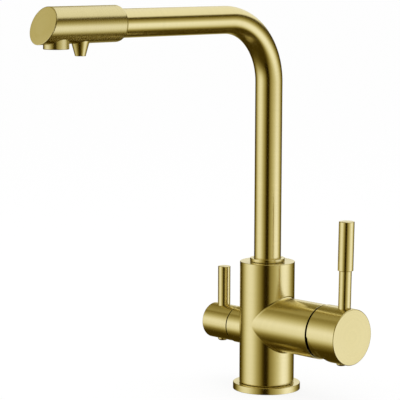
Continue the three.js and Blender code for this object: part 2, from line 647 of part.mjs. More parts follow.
/** A low round button on an arm's outside, with a stem in its hole that ends above the screw. */
function plug(capR, screwR, along, stemEnd) {
  const frame = upright(along);
  const top = -(capR + PLUG_HEIGHT);
  const button = cut(
    turned([
      [0, top], ...arc(PLUG_R - PLUG_ROUND, top + PLUG_ROUND, PLUG_ROUND, -90, 0, 3), [PLUG_R, 0], [0, 0],
    ], SIDES_SMALL, frame),
    bar(capR + GAP, along - 2 * PLUG_R, along + 2 * PLUG_R, SIDES_LARGE),
  );
  return joined(button, bar(screwR, top + PLUG_ROUND, stemEnd, SIDES_TINY, frame));
}

/** A headless screw with a hexagon socket in its outer end. */
function grubScrew(radius, socketR, outer, inner, along) {
  const frame = upright(along);
  return cut(
    bar(radius, outer, inner, SIDES_TINY, frame),
    bar(socketR, outer - 1, outer + radius, 6, frame),
  );
}

const CAP_INSIDE_TO = CAP_TO - CAP_END_WALL;
const STEM_SOCKET_HALF = STEM_HALF + GAP;
const LEVER_RIB_HALF = ROD_R + ROD_SOCKET_WALL;
const ribRoom = bar(CAP_R - CAP_WALL / 2, CAP_FROM, CAP_INSIDE_TO + 1, SIDES_LARGE);
// what lies behind the lower half of the rim, which leans outwards
const behindRim = block([-2 * CAP_R, -2 * CAP_R, -2 * CAP_R], [0, 2 * CAP_R, 0], at(0, 0, CAP_FROM)
  .multiply(new THREE.Matrix4().makeRotationY(Math.atan(CAP_RIM_SLOPE))));
piece(mixer, 'mixer_cap', cut(
  joined(
    cut(
      bar(CAP_R, CAP_FROM, CAP_TO, SIDES_LARGE, undefined, CAP_CHAMFER),
      bar(CAP_INNER_R, CAP_FROM - 1, CAP_INSIDE_TO, SIDES_LARGE),
      behindRim,
    ),
    bar(BOSS_R, BOSS_FROM, CAP_INSIDE_TO + 1, SIDES_SMALL),
    block([BOSS_R / 2, -LEVER_RIB_HALF, LEVER_AT - LEVER_RIB_HALF],
      [CAP_R, LEVER_RIB_HALF, CAP_INSIDE_TO + 1]).intersect(ribRoom),
    block([-CAP_R, -SCREW_RIB_HALF, SCREW_RIB_FROM],
      [-BOSS_R / 2, SCREW_RIB_HALF, SCREW_RIB_TO]).intersect(ribRoom),
  ),
  block([-STEM_SOCKET_HALF, -STEM_SOCKET_HALF, BOSS_FROM - 1],
    [STEM_SOCKET_HALF, STEM_SOCKET_HALF, STEM_TO + GAP]),
  bar(ROD_R + GAP, ROD_FOOT_UP - GAP, CAP_R + 1, SIDES_MEDIUM, upright(LEVER_AT)),
  bar(CAP_SCREW_R + GAP, -CAP_R - 1, -STEM_HALF, SIDES_TINY, upright(CAP_SCREW_AT)),
), brushedGold);

const CAP_SCREW_TIP = -STEM_HALF - GAP;
const CAP_SCREW_OUTER = CAP_SCREW_TIP - CAP_SCREW_LENGTH;
piece(mixer, 'cap_grub_screw', grubScrew(CAP_SCREW_R, CAP_SCREW_KEY_R,
  CAP_SCREW_OUTER, CAP_SCREW_TIP, CAP_SCREW_AT), steel);
piece(mixer, 'cap_screw_plug',
  plug(CAP_R, CAP_SCREW_R, CAP_SCREW_AT, CAP_SCREW_OUTER - CAP_SCREW_TO_PLUG), brushedGold);

const GRIP_FROM = ROD_SHOULDER_Z - ARM_Z;
const GRIP_TO = GRIP_TOP_Z - ARM_Z;
piece(mixer, 'lever_rod', turned([
  [0, ROD_FOOT_UP], [ROD_R, ROD_FOOT_UP], [ROD_R, GRIP_FROM - GAP], [ROD_SPIGOT_R, GRIP_FROM - GAP],
  [ROD_SPIGOT_R, GRIP_FROM + GRIP_BORE_DEPTH - GAP], [0, GRIP_FROM + GRIP_BORE_DEPTH - GAP],
], SIDES_MEDIUM, upright(LEVER_AT)), brushedGold);
piece(mixer, 'lever_grip', cut(
  bar(GRIP_R, GRIP_FROM, GRIP_TO, SIDES_MEDIUM, upright(LEVER_AT), GRIP_CHAMFER),
  bar(ROD_SPIGOT_R + GAP, GRIP_FROM - 1, GRIP_FROM + GRIP_BORE_DEPTH, SIDES_MEDIUM, upright(LEVER_AT)),
), brushedGold);

// ---------------------------------------------------------------- filter valve, from its seat outwards

const VALVE_SEAT_R = VALVE_BORE_R - GAP;
const valvePorts = [VALVE_PORT_UP, -VALVE_PORT_UP];
piece(valve, 'filter_valve_seat', cut(
  bar(VALVE_SEAT_R, VALVE_SEAT_FROM, VALVE_SEAT_TO, SIDES_MEDIUM),
  ...valvePorts.flatMap((x) => [
    bar(VALVE_PORT_R, VALVE_SEAT_FROM - 1, VALVE_SEAT_TO + 1, SIDES_TINY, at(x, 0)),
    bar(THIN_PIPE_R + GAP, VALVE_SEAT_FROM - 1, VALVE_SEAT_FROM + PIPE_INSERT, SIDES_SMALL, at(x, 0)),
  ]),
), rawBrass);

const VALVE_DISC_FROM = VALVE_SEAT_TO + 2 * GAP;
const VALVE_DISC_TO = VALVE_DISC_FROM + VALVE_DISC_THICKNESS;
piece(valve, 'filter_fixed_disc', cut(
  bar(VALVE_DISC_R, VALVE_DISC_FROM, VALVE_DISC_TO, SIDES_SMALL),
  ...valvePorts.map((x) =>
    bar(VALVE_PORT_R, VALVE_DISC_FROM - 1, VALVE_DISC_TO + 1, SIDES_TINY, at(x, 0))),
), ceramic);

// at rest its groove lies across the ports, and a quarter turn joins them
const TURNING_DISC_FROM = VALVE_DISC_TO + GAP;
const TURNING_DISC_TO = TURNING_DISC_FROM + VALVE_DISC_THICKNESS;
const KEY_SLOT_FROM = TURNING_DISC_TO - KEY_HEIGHT;
piece(valve, 'filter_turning_disc', cut(
  bar(VALVE_DISC_R, TURNING_DISC_FROM, TURNING_DISC_TO, SIDES_SMALL),
  block([-GROOVE_WIDTH / 2, -VALVE_PORT_UP - VALVE_PORT_R, TURNING_DISC_FROM - 1],
    [GROOVE_WIDTH / 2, VALVE_PORT_UP + VALVE_PORT_R, TURNING_DISC_FROM + GROOVE_DEPTH]),
  block([-KEY_LENGTH / 2 - GAP, -KEY_WIDTH / 2 - GAP, KEY_SLOT_FROM],
    [KEY_LENGTH / 2 + GAP, KEY_WIDTH / 2 + GAP, TURNING_DISC_TO + 1]),
), ceramic);

const SPINDLE_FROM = TURNING_DISC_TO + GAP;
const HEADWORK_CAVITY_R = VALVE_DISC_R + GAP;
const HEADWORK_CAVITY_TO = VALVE_ARM_END - GAP - HEADWORK_WEB;
const SPINDLE_PLATE_TO = HEADWORK_CAVITY_TO - GAP;
const SPINDLE_GROOVE_R = SPINDLE_R - 1;
const SPINDLE_RING_TO = SPINDLE_RING_FROM + O_RING_HEIGHT + 2 * GAP;
const CLIP_FROM = HEADWORK_TO + GAP;
const CLIP_TO = CLIP_FROM + CLIP_THICKNESS;
const CLIP_GROOVE_R = SPINDLE_GROOVE_R - GAP;
piece(valve, 'filter_headwork', turned([
  [HEADWORK_CAVITY_R, VALVE_SEAT_TO + GAP], [VALVE_SEAT_R, VALVE_SEAT_TO + GAP],
  [VALVE_SEAT_R, VALVE_ARM_END - GAP], [HEADWORK_NECK_R, VALVE_ARM_END - GAP],
  [HEADWORK_NECK_R, HEADWORK_TO], [SPINDLE_R + GAP, HEADWORK_TO], [SPINDLE_R + GAP, HEADWORK_CAVITY_TO],
  [HEADWORK_CAVITY_R, HEADWORK_CAVITY_TO], [HEADWORK_CAVITY_R, VALVE_SEAT_TO + GAP],
], SIDES_MEDIUM), rawBrass);

piece(valve, 'filter_spindle', joined(
  turned([
    [0, SPINDLE_FROM], [VALVE_DISC_R, SPINDLE_FROM], [VALVE_DISC_R, SPINDLE_PLATE_TO],
    [SPINDLE_R, SPINDLE_PLATE_TO], [SPINDLE_R, SPINDLE_RING_FROM], [SPINDLE_GROOVE_R, SPINDLE_RING_FROM],
    [SPINDLE_GROOVE_R, SPINDLE_RING_TO], [SPINDLE_R, SPINDLE_RING_TO], [SPINDLE_R, CLIP_FROM - GAP],
    [CLIP_GROOVE_R, CLIP_FROM - GAP], [CLIP_GROOVE_R, CLIP_TO + 1], [0, CLIP_TO + 1],
  ], SIDES_SMALL),
  block([-KEY_LENGTH / 2, -KEY_WIDTH / 2, KEY_SLOT_FROM + GAP],
    [KEY_LENGTH / 2, KEY_WIDTH / 2, SPINDLE_FROM + 1]),
  block([-SPINDLE_SQUARE / 2, -SPINDLE_SQUARE / 2, CLIP_TO + GAP],
    [SPINDLE_SQUARE / 2, SPINDLE_SQUARE / 2, SPINDLE_TO]),
), rawBrass);
piece(valve, 'filter_spindle_o_ring', ring(SPINDLE_GROOVE_R + SEAL_EASE, SPINDLE_R + SEAL_EASE,
  SPINDLE_RING_FROM + GAP, SPINDLE_RING_FROM + GAP + O_RING_HEIGHT, SIDES_SMALL), blackRubber);
piece(valve, 'filter_spindle_clip',
  ring(SPINDLE_GROOVE_R, CLIP_R, CLIP_FROM, CLIP_TO, SIDES_SMALL), steel);

const SQUARE_SOCKET_HALF = SPINDLE_SQUARE / 2 + GAP;
piece(valve, 'filter_cap', cut(
  turned([
    [0, VALVE_CAP_FROM], [VALVE_CAP_R, VALVE_CAP_FROM],
    ...arc(VALVE_CAP_R - VALVE_CAP_ROUND, VALVE_CAP_TO - VALVE_CAP_ROUND, VALVE_CAP_ROUND, 0, 90, 3),
    [0, VALVE_CAP_TO],
  ], SIDES_LARGE),
  bar(VALVE_CAP_R - VALVE_CAP_WALL, VALVE_CAP_FROM - 1, VALVE_CAP_CAVITY_TO, SIDES_MEDIUM),
  block([-SQUARE_SOCKET_HALF, -SQUARE_SOCKET_HALF, VALVE_CAP_CAVITY_TO - 1],
    [SQUARE_SOCKET_HALF, SQUARE_SOCKET_HALF, SPINDLE_TO + GAP]),
  bar(VALVE_LEVER_R + GAP, VALVE_LEVER_FOOT_UP - GAP, VALVE_CAP_R + 1, SIDES_MEDIUM, upright(VALVE_LEVER_AT)),
  bar(VALVE_SCREW_R + GAP, -VALVE_CAP_R - 1, -SPINDLE_SQUARE / 2, SIDES_TINY, upright(VALVE_SCREW_AT)),
), brushedGold);

const VALVE_SCREW_TIP = -SPINDLE_SQUARE / 2 - GAP;
const VALVE_SCREW_OUTER = VALVE_SCREW_TIP - VALVE_SCREW_LENGTH;
piece(valve, 'filter_grub_screw', grubScrew(VALVE_SCREW_R, VALVE_SCREW_KEY_R,
  VALVE_SCREW_OUTER, VALVE_SCREW_TIP, VALVE_SCREW_AT), steel);
piece(valve, 'filter_screw_plug',
  plug(VALVE_CAP_R, VALVE_SCREW_R, VALVE_SCREW_AT, VALVE_SCREW_OUTER - VALVE_SCREW_TO_PLUG), brushedGold);
piece(valve, 'filter_lever', bar(VALVE_LEVER_R, VALVE_LEVER_FOOT_UP, VALVE_LEVER_TOP_Z - VALVE_Z,
  SIDES_MEDIUM, upright(VALVE_LEVER_AT), GRIP_CHAMFER), brushedGold);

// ---------------------------------------------------------------- spout joint

const FOOT_R = SOCKET_R - GAP;
const TUBE_INNER_R = TUBE_R - TUBE_WALL;
const FOOT_RECESS_R = TUBE_R + GAP;
const SLIDE_RING_FROM = FOOT_TO + GAP;
piece(tap, 'spout_collar', turned([
  [TUBE_R + GAP, BODY_TOP - NUT_THREAD_DEPTH], [NUT_THREAD_R, BODY_TOP - NUT_THREAD_DEPTH],
  [NUT_THREAD_R, BODY_TOP + GAP], [COLLAR_R, BODY_TOP + GAP],
  [COLLAR_R, BODY_TOP + GAP + COLLAR_HEIGHT], [TUBE_R + GAP, BODY_TOP + GAP + COLLAR_HEIGHT],
  [TUBE_R + GAP, BODY_TOP - NUT_THREAD_DEPTH],
], SIDES_MEDIUM), brushedGold);
piece(spout, 'spout_slide_ring',
  ring(FOOT_RECESS_R, FOOT_R, SLIDE_RING_FROM, NUT_BORE_FROM, SIDES_MEDIUM), whitePlastic);

const footRings = [['lower', FOOT_FROM + 2.5], ['upper', FOOT_FROM + 8.5]];
const SPIGOT_TO = SPIGOT_HOLE_FROM + GAP;
const SPIGOT_RING_FROM = SPIGOT_TO + 1;
const SPIGOT_GROOVE_R = SPOUT_SPIGOT_R - SPIGOT_GROOVE_DEPTH;
piece(spout, 'spout_foot', cut(
  joined(
    bar(FOOT_R, FOOT_FROM, FOOT_TO, SIDES_MEDIUM),
    bar(SPOUT_SPIGOT_R, SPIGOT_TO, FOOT_FROM + 1, SIDES_SMALL),
  ),
  bar(FOOT_RECESS_R, TUBE_FROM - GAP, FOOT_TO + 1, SIDES_MEDIUM),
  bar(THIN_PIPE_R + GAP, TUBE_FROM - INNER_PIPE_SOCKET, FOOT_TO, SIDES_SMALL),
  bar(THIN_PIPE_R - THIN_PIPE_WALL, SPIGOT_TO - 1, FOOT_TO, SIDES_TINY),
  ...[0, 1, 2].map((i) => bar(WATERWAY_R, FOOT_FROM - 1, FOOT_TO, SIDES_TINY, at(
    WATERWAY_AT * Math.cos(2 * Math.PI * i / 3), WATERWAY_AT * Math.sin(2 * Math.PI * i / 3)))),
  ...footRings.map(([, z]) =>
    ring(FOOT_R - FOOT_GROOVE_DEPTH, FOOT_R + 1, z, z + O_RING_HEIGHT + 2 * GAP, SIDES_MEDIUM)),
  ring(SPIGOT_GROOVE_R, SPOUT_SPIGOT_R + 1, SPIGOT_RING_FROM, SPIGOT_RING_FROM + O_RING_HEIGHT, SIDES_SMALL),
), rawBrass);
for (const [name, z] of footRings) {
  piece(spout, `spout_o_ring_${name}`, ring(FOOT_R - FOOT_GROOVE_DEPTH + GAP, FOOT_R + SEAL_EASE,
    z + GAP, z + GAP + O_RING_HEIGHT, SIDES_MEDIUM), blackRubber);
}
piece(spout, 'spigot_o_ring', ring(SPIGOT_GROOVE_R + SEAL_EASE, SPOUT_SPIGOT_R + SEAL_EASE,
  SPIGOT_RING_FROM + SEAL_EASE, SPIGOT_RING_FROM + O_RING_HEIGHT - SEAL_EASE, SIDES_SMALL), blackRubber);

// ---------------------------------------------------------------- spout tube

const TUBE_TO = HEAD_FROM + TUBE_INSERT;
const INNER_PIPE_TO = NOZZLE_AT - CONNECTOR_BACK + PIPE_INSERT;
piece(spout, 'spout_tube', pipe(
  [[0, 0, TUBE_FROM], [0, 0, SPOUT_Z], [0, -TUBE_TO, SPOUT_Z]],
  SPOUT_BEND, TUBE_R, TUBE_WALL, SIDES_MEDIUM, 7), brushedGold);
piece(spout, 'filtered_water_tube', pipe(
  [[0, 0, TUBE_FROM - INNER_PIPE_SOCKET + GAP], [0, 0, SPOUT_Z], [0, -INNER_PIPE_TO, SPOUT_Z]],
  SPOUT_BEND, THIN_PIPE_R, THIN_PIPE_WALL, SIDES_TINY, 6), whitePlastic);

// ---------------------------------------------------------------- spout head

const HEAD_INNER_R = HEAD_R - HEAD_WALL;
const HEAD_END = HEAD_FACE_AT + HEAD_R;
const HEAD_UNDERSIDE_Z = SPOUT_Z - HEAD_R;
const TUBE_STOP = TUBE_TO + GAP;
const AERATOR_LEDGE_Z = AERATOR_TOP_Z + SEAL_HEIGHT + 2 * GAP;
const faceFrame = placedIn(spoutFrame, at(0, 0, HEAD_FACE_AT),
  new THREE.Matrix4().makeRotationY(HEAD_FACE_LEAN));
/** A slab along the head's slanted face, from some depth behind it. */
const inFrontOf = (depth, to = 2 * HEAD_R) =>
  block([-2 * HEAD_R, -2 * HEAD_R, -depth], [2 * HEAD_R, 2 * HEAD_R, to], faceFrame);
const headRound = (radius, from = HEAD_FROM) => bar(radius, from, HEAD_END, SIDES_LARGE, spoutFrame);
const aeratorPlace = at(0, -AERATOR_AT);
const nozzlePlace = at(0, -NOZZLE_AT);
const END_CAP_SEAT = END_CAP_THICKNESS + GAP;
const END_CAP_DEPTH = END_CAP_THICKNESS + END_CAP_SPIGOT;

// the head's wall over the tube holds the O-ring's groove, and its rear edge the rounded shoulder
const HEAD_BORE_R = TUBE_R + GAP;
const HEAD_SLEEVE = HEAD_R - HEAD_BORE_R;
const shoulderTurn = THREE.MathUtils.degToRad(HEAD_SHOULDER_TURN);
const shoulderR = Math.min(HEAD_SHOULDER_R, (HEAD_SLEEVE - HEAD_REAR_RIM) / (1 - Math.cos(shoulderTurn)));
const headShell = turned([
  [HEAD_BORE_R, HEAD_FROM],
  ...arc(HEAD_R - shoulderR, HEAD_FROM + shoulderR * Math.sin(shoulderTurn),
    shoulderR, -HEAD_SHOULDER_TURN, 0, 4),
  [HEAD_R, HEAD_END], [HEAD_INNER_R, HEAD_END], [HEAD_INNER_R, TUBE_STOP + HEAD_LIP],
  [TUBE_INNER_R, TUBE_STOP + HEAD_LIP], [TUBE_INNER_R, TUBE_STOP], [HEAD_BORE_R, TUBE_STOP],
  [HEAD_BORE_R, HEAD_FROM],
], SIDES_LARGE, spoutFrame);
const headRingR = HEAD_BORE_R + HEAD_RING_SHARE * HEAD_SLEEVE;
const insideHead = headRound(HEAD_INNER_R + HEAD_WALL / 2, TUBE_TO);
piece(spout, 'spout_head', cut(
  joined(
    headShell,
    bar(AERATOR_BOSS_R, HEAD_UNDERSIDE_Z, AERATOR_BOSS_TOP_Z, SIDES_MEDIUM, aeratorPlace)
      .intersect(insideHead),
    bar(NOZZLE_BOSS_R, HEAD_UNDERSIDE_Z, NOZZLE_THREAD_TO_Z, SIDES_SMALL, nozzlePlace)
      .intersect(insideHead),
  ),
  inFrontOf(END_CAP_SEAT),
  headRound(HEAD_INNER_R).intersect(inFrontOf(END_CAP_DEPTH + GAP)),
  bar(AERATOR_THREAD_R + GAP, SPOUT_Z - 2 * HEAD_R, AERATOR_LEDGE_Z, SIDES_MEDIUM, aeratorPlace),
  bar(AERATOR_LEDGE_R, AERATOR_LEDGE_Z - 1, AERATOR_BOSS_TOP_Z + 1, SIDES_SMALL, aeratorPlace),
  bar(NOZZLE_THREAD_R + GAP, SPOUT_Z - 2 * HEAD_R, NOZZLE_THREAD_TO_Z + 1, SIDES_SMALL, nozzlePlace),
  ring(TUBE_R, headRingR + GAP, HEAD_RING_FROM - GAP, HEAD_RING_FROM + O_RING_HEIGHT + GAP,
    SIDES_LARGE, spoutFrame),
), brushedGold);
piece(spout, 'head_o_ring', ring(HEAD_BORE_R, headRingR, HEAD_RING_FROM,
  HEAD_RING_FROM + O_RING_HEIGHT, SIDES_LARGE, spoutFrame), blackRubber);

piece(spout, 'head_end_cap', joined(
  headRound(HEAD_R).intersect(inFrontOf(END_CAP_THICKNESS, 0)),
  headRound(HEAD_INNER_R - GAP).intersect(inFrontOf(END_CAP_DEPTH, -END_CAP_THICKNESS / 2)),
), brushedGold);

const seatOnHead = headRound(HEAD_R + GAP);
piece(spout, 'aerator_housing', cut(
  joined(
    cut(
      turned([
        [0, AERATOR_BOTTOM_Z], [AERATOR_R - CAP_CHAMFER, AERATOR_BOTTOM_Z],
        [AERATOR_R, AERATOR_BOTTOM_Z + CAP_CHAMFER], [AERATOR_R, AERATOR_TOP_Z], [0, AERATOR_TOP_Z],
      ], SIDES_MEDIUM, aeratorPlace),
      seatOnHead,
    ),
    bar(AERATOR_THREAD_R, AERATOR_BOTTOM_Z + 1, AERATOR_TOP_Z, SIDES_MEDIUM, aeratorPlace),
  ),
  bar(AERATOR_BORE_R, AERATOR_BOTTOM_Z - 1, AERATOR_TOP_Z - SEAL_HEIGHT, SIDES_MEDIUM, aeratorPlace),
  bar(AERATOR_LEDGE_R, AERATOR_BOTTOM_Z, AERATOR_TOP_Z + 1, SIDES_SMALL, aeratorPlace),
), brushedGold);

/** Rings of six sided holes, each given by its count and its radius. */
const hexHoles = (rings, radius, from, to, place) => rings.flatMap(([count, away]) =>
  Array.from({ length: count }, (_, i) => bar(radius, from - 1, to + 1, 6, placedIn(place,
    at(away * Math.cos(2 * Math.PI * i / count), away * Math.sin(2 * Math.PI * i / count))))));
const INSERT_FROM = AERATOR_BOTTOM_Z + INSERT_RECESS;
const INSERT_TO = AERATOR_TOP_Z - SEAL_HEIGHT - GAP;
piece(spout, 'aerator_insert', cut(
  bar(AERATOR_BORE_R - GAP, INSERT_FROM, INSERT_TO, SIDES_MEDIUM, aeratorPlace),
  ...hexHoles(INSERT_HOLES, INSERT_HOLE_R, INSERT_FROM, INSERT_TO, aeratorPlace),
), greyPlastic);
piece(spout, 'aerator_seal', ring(AERATOR_LEDGE_R + GAP, AERATOR_THREAD_R - GAP,
  AERATOR_TOP_Z + GAP, AERATOR_TOP_Z + GAP + SEAL_HEIGHT, SIDES_SMALL, aeratorPlace), blackRubber);

piece(spout, 'filter_nozzle', cut(
  joined(
    cut(
      turned([
        [0, NOZZLE_TIP_Z], [NOZZLE_TIP_R, NOZZLE_TIP_Z], [NOZZLE_TOP_R, NOZZLE_TOP_Z],
        [NOZZLE_TOP_R, NOZZLE_THREAD_TO_Z - 1], [0, NOZZLE_THREAD_TO_Z - 1],
      ], SIDES_MEDIUM, nozzlePlace),
      seatOnHead,
    ),
    bar(NOZZLE_THREAD_R, NOZZLE_TIP_Z + NOZZLE_MOUTH_DEPTH + 1, NOZZLE_THREAD_TO_Z, SIDES_SMALL, nozzlePlace),
  ),
  bar(NOZZLE_BORE_R, NOZZLE_TIP_Z, NOZZLE_THREAD_TO_Z + 1, SIDES_TINY, nozzlePlace),
  bar(NOZZLE_MOUTH_R, NOZZLE_TIP_Z - 1, NOZZLE_TIP_Z + NOZZLE_MOUTH_DEPTH, SIDES_SMALL, nozzlePlace),
), brushedGold);
const JET_FROM = NOZZLE_TIP_Z + JET_RECESS;
const JET_TO = NOZZLE_TIP_Z + NOZZLE_MOUTH_DEPTH - GAP;
piece(spout, 'nozzle_insert', cut(
  bar(NOZZLE_MOUTH_R - GAP, JET_FROM, JET_TO, SIDES_SMALL, nozzlePlace),
  ...hexHoles(JET_HOLES, JET_HOLE_R, JET_FROM, JET_TO, nozzlePlace),
), greyPlastic);

const CONNECTOR_FROM = NOZZLE_THREAD_TO_Z + GAP;
const connectorBack = NOZZLE_AT - CONNECTOR_BACK;
piece(spout, 'nozzle_connector', cut(
  joined(
    bar(CONNECTOR_R, CONNECTOR_FROM, SPOUT_Z + CONNECTOR_R, SIDES_SMALL, nozzlePlace),
    bar(CONNECTOR_BARREL_R, connectorBack, NOZZLE_AT, SIDES_SMALL, spoutFrame),
  ),
  bar(NOZZLE_BORE_R, CONNECTOR_FROM - 1, SPOUT_Z, SIDES_TINY, nozzlePlace),
  bar(NOZZLE_BORE_R, connectorBack, NOZZLE_AT, SIDES_TINY, spoutFrame),
  bar(THIN_PIPE_R + GAP, connectorBack - 1, INNER_PIPE_TO + GAP, SIDES_SMALL, spoutFrame),
), rawBrass);

export default tap;
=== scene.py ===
"""Finishes, finely turned surfaces, studio and camera for a three way filtered kitchen tap.

The packed frame gives every piece its place. The gold pieces are replaced by smooth surfaces worked
out with numpy from the same sizes, and the pieces inside keep their frame meshes under new finishes.
Lengths are metres, +Z is up, the mixer arm points along +X and the spout along -Y.
"""

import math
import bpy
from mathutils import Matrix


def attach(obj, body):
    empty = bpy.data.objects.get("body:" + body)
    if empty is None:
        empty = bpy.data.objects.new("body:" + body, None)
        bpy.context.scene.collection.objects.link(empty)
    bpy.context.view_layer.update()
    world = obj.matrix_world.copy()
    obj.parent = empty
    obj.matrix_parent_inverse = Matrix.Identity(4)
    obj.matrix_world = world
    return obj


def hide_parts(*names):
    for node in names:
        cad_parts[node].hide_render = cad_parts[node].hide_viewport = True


bl_info = {
    "name": "Three way filtered kitchen tap",
    "version": (1, 0, 0),
    "blender": (4, 5, 0),
    "location": "3D View > Sidebar > Tap",
    "description": "Turned surfaces, finishes and a studio for a kitchen tap with filtered water",
    "category": "Object",
}

import bpy
import numpy as np
from bpy.props import FloatProperty, FloatVectorProperty, PointerProperty
from mathutils import Matrix

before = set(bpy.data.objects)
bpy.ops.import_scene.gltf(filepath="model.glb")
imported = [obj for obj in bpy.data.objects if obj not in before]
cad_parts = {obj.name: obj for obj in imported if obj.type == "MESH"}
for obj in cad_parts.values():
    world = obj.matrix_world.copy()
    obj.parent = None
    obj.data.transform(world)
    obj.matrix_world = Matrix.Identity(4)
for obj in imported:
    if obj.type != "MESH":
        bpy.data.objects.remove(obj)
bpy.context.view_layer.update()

X, Y, Z = np.eye(3)
WHITE = (1.0, 1.0, 1.0, 1.0)

GAP = 0.0003  # seam between neighbouring pieces
CRISP, EASED, FINE = 0.0001, 0.0002, 0.0003  # roundings of edges
ROUNDING_STEPS = 6  # parts of the arc that rounds a corner
GUARD = 0.0003  # how far beside a rounding one more point stands
SHARP_ANGLE = math.radians(32)  # past which an edge is shaded sharp
TURNS, SMALL_TURNS = 144, 72  # columns around a large turned piece and around a rod
PAINTED_SHADE_DEPTH = 0.0003  # a seam's wall gets painted shade from this far below the outer surface, fully dark at twice as far
PAINTED_SHADE_TONE = 0.03  # how much of its tone the metal keeps in that painted shade

# How many brushing lines there are for each metre round a piece and along its profile
FINE_LINES, MIDDLE_LINES, WIDE_LINES = (90.0, 5200.0), (40.0, 1500.0), (16.0, 420.0)
LINE_HEIGHT = 0.000001
# What a grain of 1 does to the tone, down and up, to the roughness and to the lines' relief
DARKER, LIGHTER, ROUGHER, RELIEF = 0.16, 0.10, 0.10, 0.10

# The light tent's brightness as (angle in degrees, value), for turns from the camera's side, positive
# to its right, and for lifts above the horizon.
WALL = (
    (-180, .45), (-173, .40), (-165, .07), (-150, .04), (-137, .10), (-128, .24), (-115, .52),
    (-102, .80), (-90, .94), (-78, .99), (-66, .94), (-57, .80), (-48, .62), (-40, .46), (-31, .32),
    (-23, .16), (-15, .03), (-5, .01), (3, .04), (8, .20), (13, .32), (22, .41), (33, .56), (45, .71),
    (56, .88), (66, 1.04), (76, 1.08), (88, 1.02), (99, .86), (110, .58), (123, .32), (135, .15),
    (150, .05), (165, .07), (173, .40), (180, .45))
LEFT_LIFT = (
    (-90, .05), (-50, .08), (-44, .12), (-38, .18), (-31, .31), (-24, .60), (-14, .91), (5, 1.02),
    (12, .96), (18, .82), (24, .67), (30, .53), (37, .38), (50, .34))
RIGHT_LIFT = (
    (-90, .04), (-50, .05), (-45, .11), (-40, .35), (-35, .64), (-28, .88), (-20, .98), (-8, .98),
    (-2, .83), (4, .58), (11, .40), (18, .22), (24, .08), (29, .05))
RIGHT_HALF = (20, 40)  # the turn from which the right half's lifts take over, and over how much
ROOF = (
    (-180, .85), (-172, .60), (-160, .28), (-150, .26), (-112, .38), (-90, .36), (-50, .34), (0, .34),
    (30, .50), (60, .74), (90, .88), (120, .92), (165, .92), (180, .85))
ROOF_EDGE = (  # the lift at which the roof starts
    (-180, 1), (-172, 6), (-160, 16), (-140, 30), (-110, 44), (-90, 48), (0, 44), (60, 37), (90, 34),
    (105, 32), (130, 24), (150, 15), (172, 5), (180, 1))
ROOF_BLEND = 5
CORNER_SHADE = 0.6  # how much darker the roof is in the left rear corner
CORNER_LIFT, CORNER_TURN = (12, 6), (155, 10)  # where that corner starts, and over how much
LOW_GLOW, LOW_TOP = 0.05, -35  # the least brightness of the lowest part, and where that part ends
TINT = (1.0, 1.15, 2.0)  # powers of the brightness in red, green and blue


def length(name, description, default):
    """A length in metres that a user may change."""
    return FloatProperty(
        name=name, description=description, default=default, min=0.0001, max=1.0, precision=5,
        unit="LENGTH", subtype="DISTANCE")


def distance(name, what, default):
    """How far something is from the body's axis."""
    return length(name, "Distance from the body's axis to " + what, default)


def turn(name, description, default, **limits):
    """An angle in radians that a user may change."""
    return FloatProperty(
        name=name, description=description, default=default, unit="ROTATION", subtype="ANGLE", **limits)


def colour(name, description, default):
    """A linear colour that a user may change."""
    return FloatVectorProperty(
        name=name, description=description, default=default, min=0.0, max=1.0, size=3, subtype="COLOR")


def share(name, description, default):
    """A number from 0 to 1 that a user may change."""
    return FloatProperty(
        name=name, description=description, default=default, min=0.0, max=1.0, subtype="FACTOR")


# -------- settings


class TapBodySizes(bpy.types.PropertyGroup):
    """Sizes of the base, the body and its two arms."""

    flange_radius: length("Flange radius", "Outer radius of the base flange", 0.0308)
    flange_height: length("Flange height", "Height of the base flange", 0.006)
    body_radius: length("Body radius", "Outer radius of the upright body", 0.025)
    body_top: length("Body top", "Height of the body's flat top", 0.118)
    arm_height: length("Mixer arm height", "Height of the mixer arm's axis", 0.0622)
    arm_radius: length("Mixer arm radius", "Outer radius of the mixer arm", 0.0246)
    arm_end: distance("Mixer arm end", "the arm's end", 0.0702)
    arm_fillet: length("Mixer arm fillet", "Radius of the hollow where arm and body meet", 0.0022)
    valve_height: length("Valve arm height", "Height of the filter valve arm's axis", 0.0544)
    valve_radius: length("Valve arm radius", "Outer radius of the filter valve arm", 0.01685)
    valve_end: distance("Valve arm end", "the arm's end", 0.0358)
    valve_fillet: length("Valve arm fillet", "Radius of the hollow where arm and body meet", 0.0012)


class TapHandleSizes(bpy.types.PropertyGroup):
    """Sizes of both handles, each a cap with a lever and a button."""

    cap_radius: length("Mixer cap radius", "Outer radius of the mixer cap", 0.02515)
    cap_start: distance("Mixer cap rim", "the cap's rim", 0.0726)
    cap_end: distance("Mixer cap face", "the cap's flat face", 0.1045)
    cap_lean: share("Rim lean", "How far the lower rim leans outwards for each metre of depth", 0.6)
    lever_place: distance("Lever place", "the lever", 0.0948)
    rod_radius: length("Rod radius", "Radius of the lever's rod", 0.0056)
    grip_radius: length("Grip radius", "Radius of the lever's grip", 0.0069)
    grip_foot: length("Grip foot", "Height at which the grip starts", 0.1207)
    grip_top: length("Grip top", "Height of the grip's flat top", 0.1644)
    lever_lean: share("Lever lean", "How far the lever leans outwards for each metre of height", 0.018)
    valve_cap_radius: length("Valve cap radius", "Outer radius of the filter valve's cap", 0.0163)
    valve_cap_start: distance("Valve cap rim", "the rim", 0.0374)
    valve_cap_end: distance("Valve cap face", "the face", 0.0685)
    valve_lever_place: distance("Valve lever place", "the lever", 0.056)
    valve_lever_radius: length("Valve lever radius", "Radius of the filter valve's lever", 0.0058)
    valve_lever_top: length("Valve lever top", "Height of the valve lever's flat top", 0.1067)
    plug_radius: length("Plug radius", "Radius of the button that hides a grub screw", 0.0044)
    plug_height: length("Plug height", "How far such a button stands out", 0.0018)


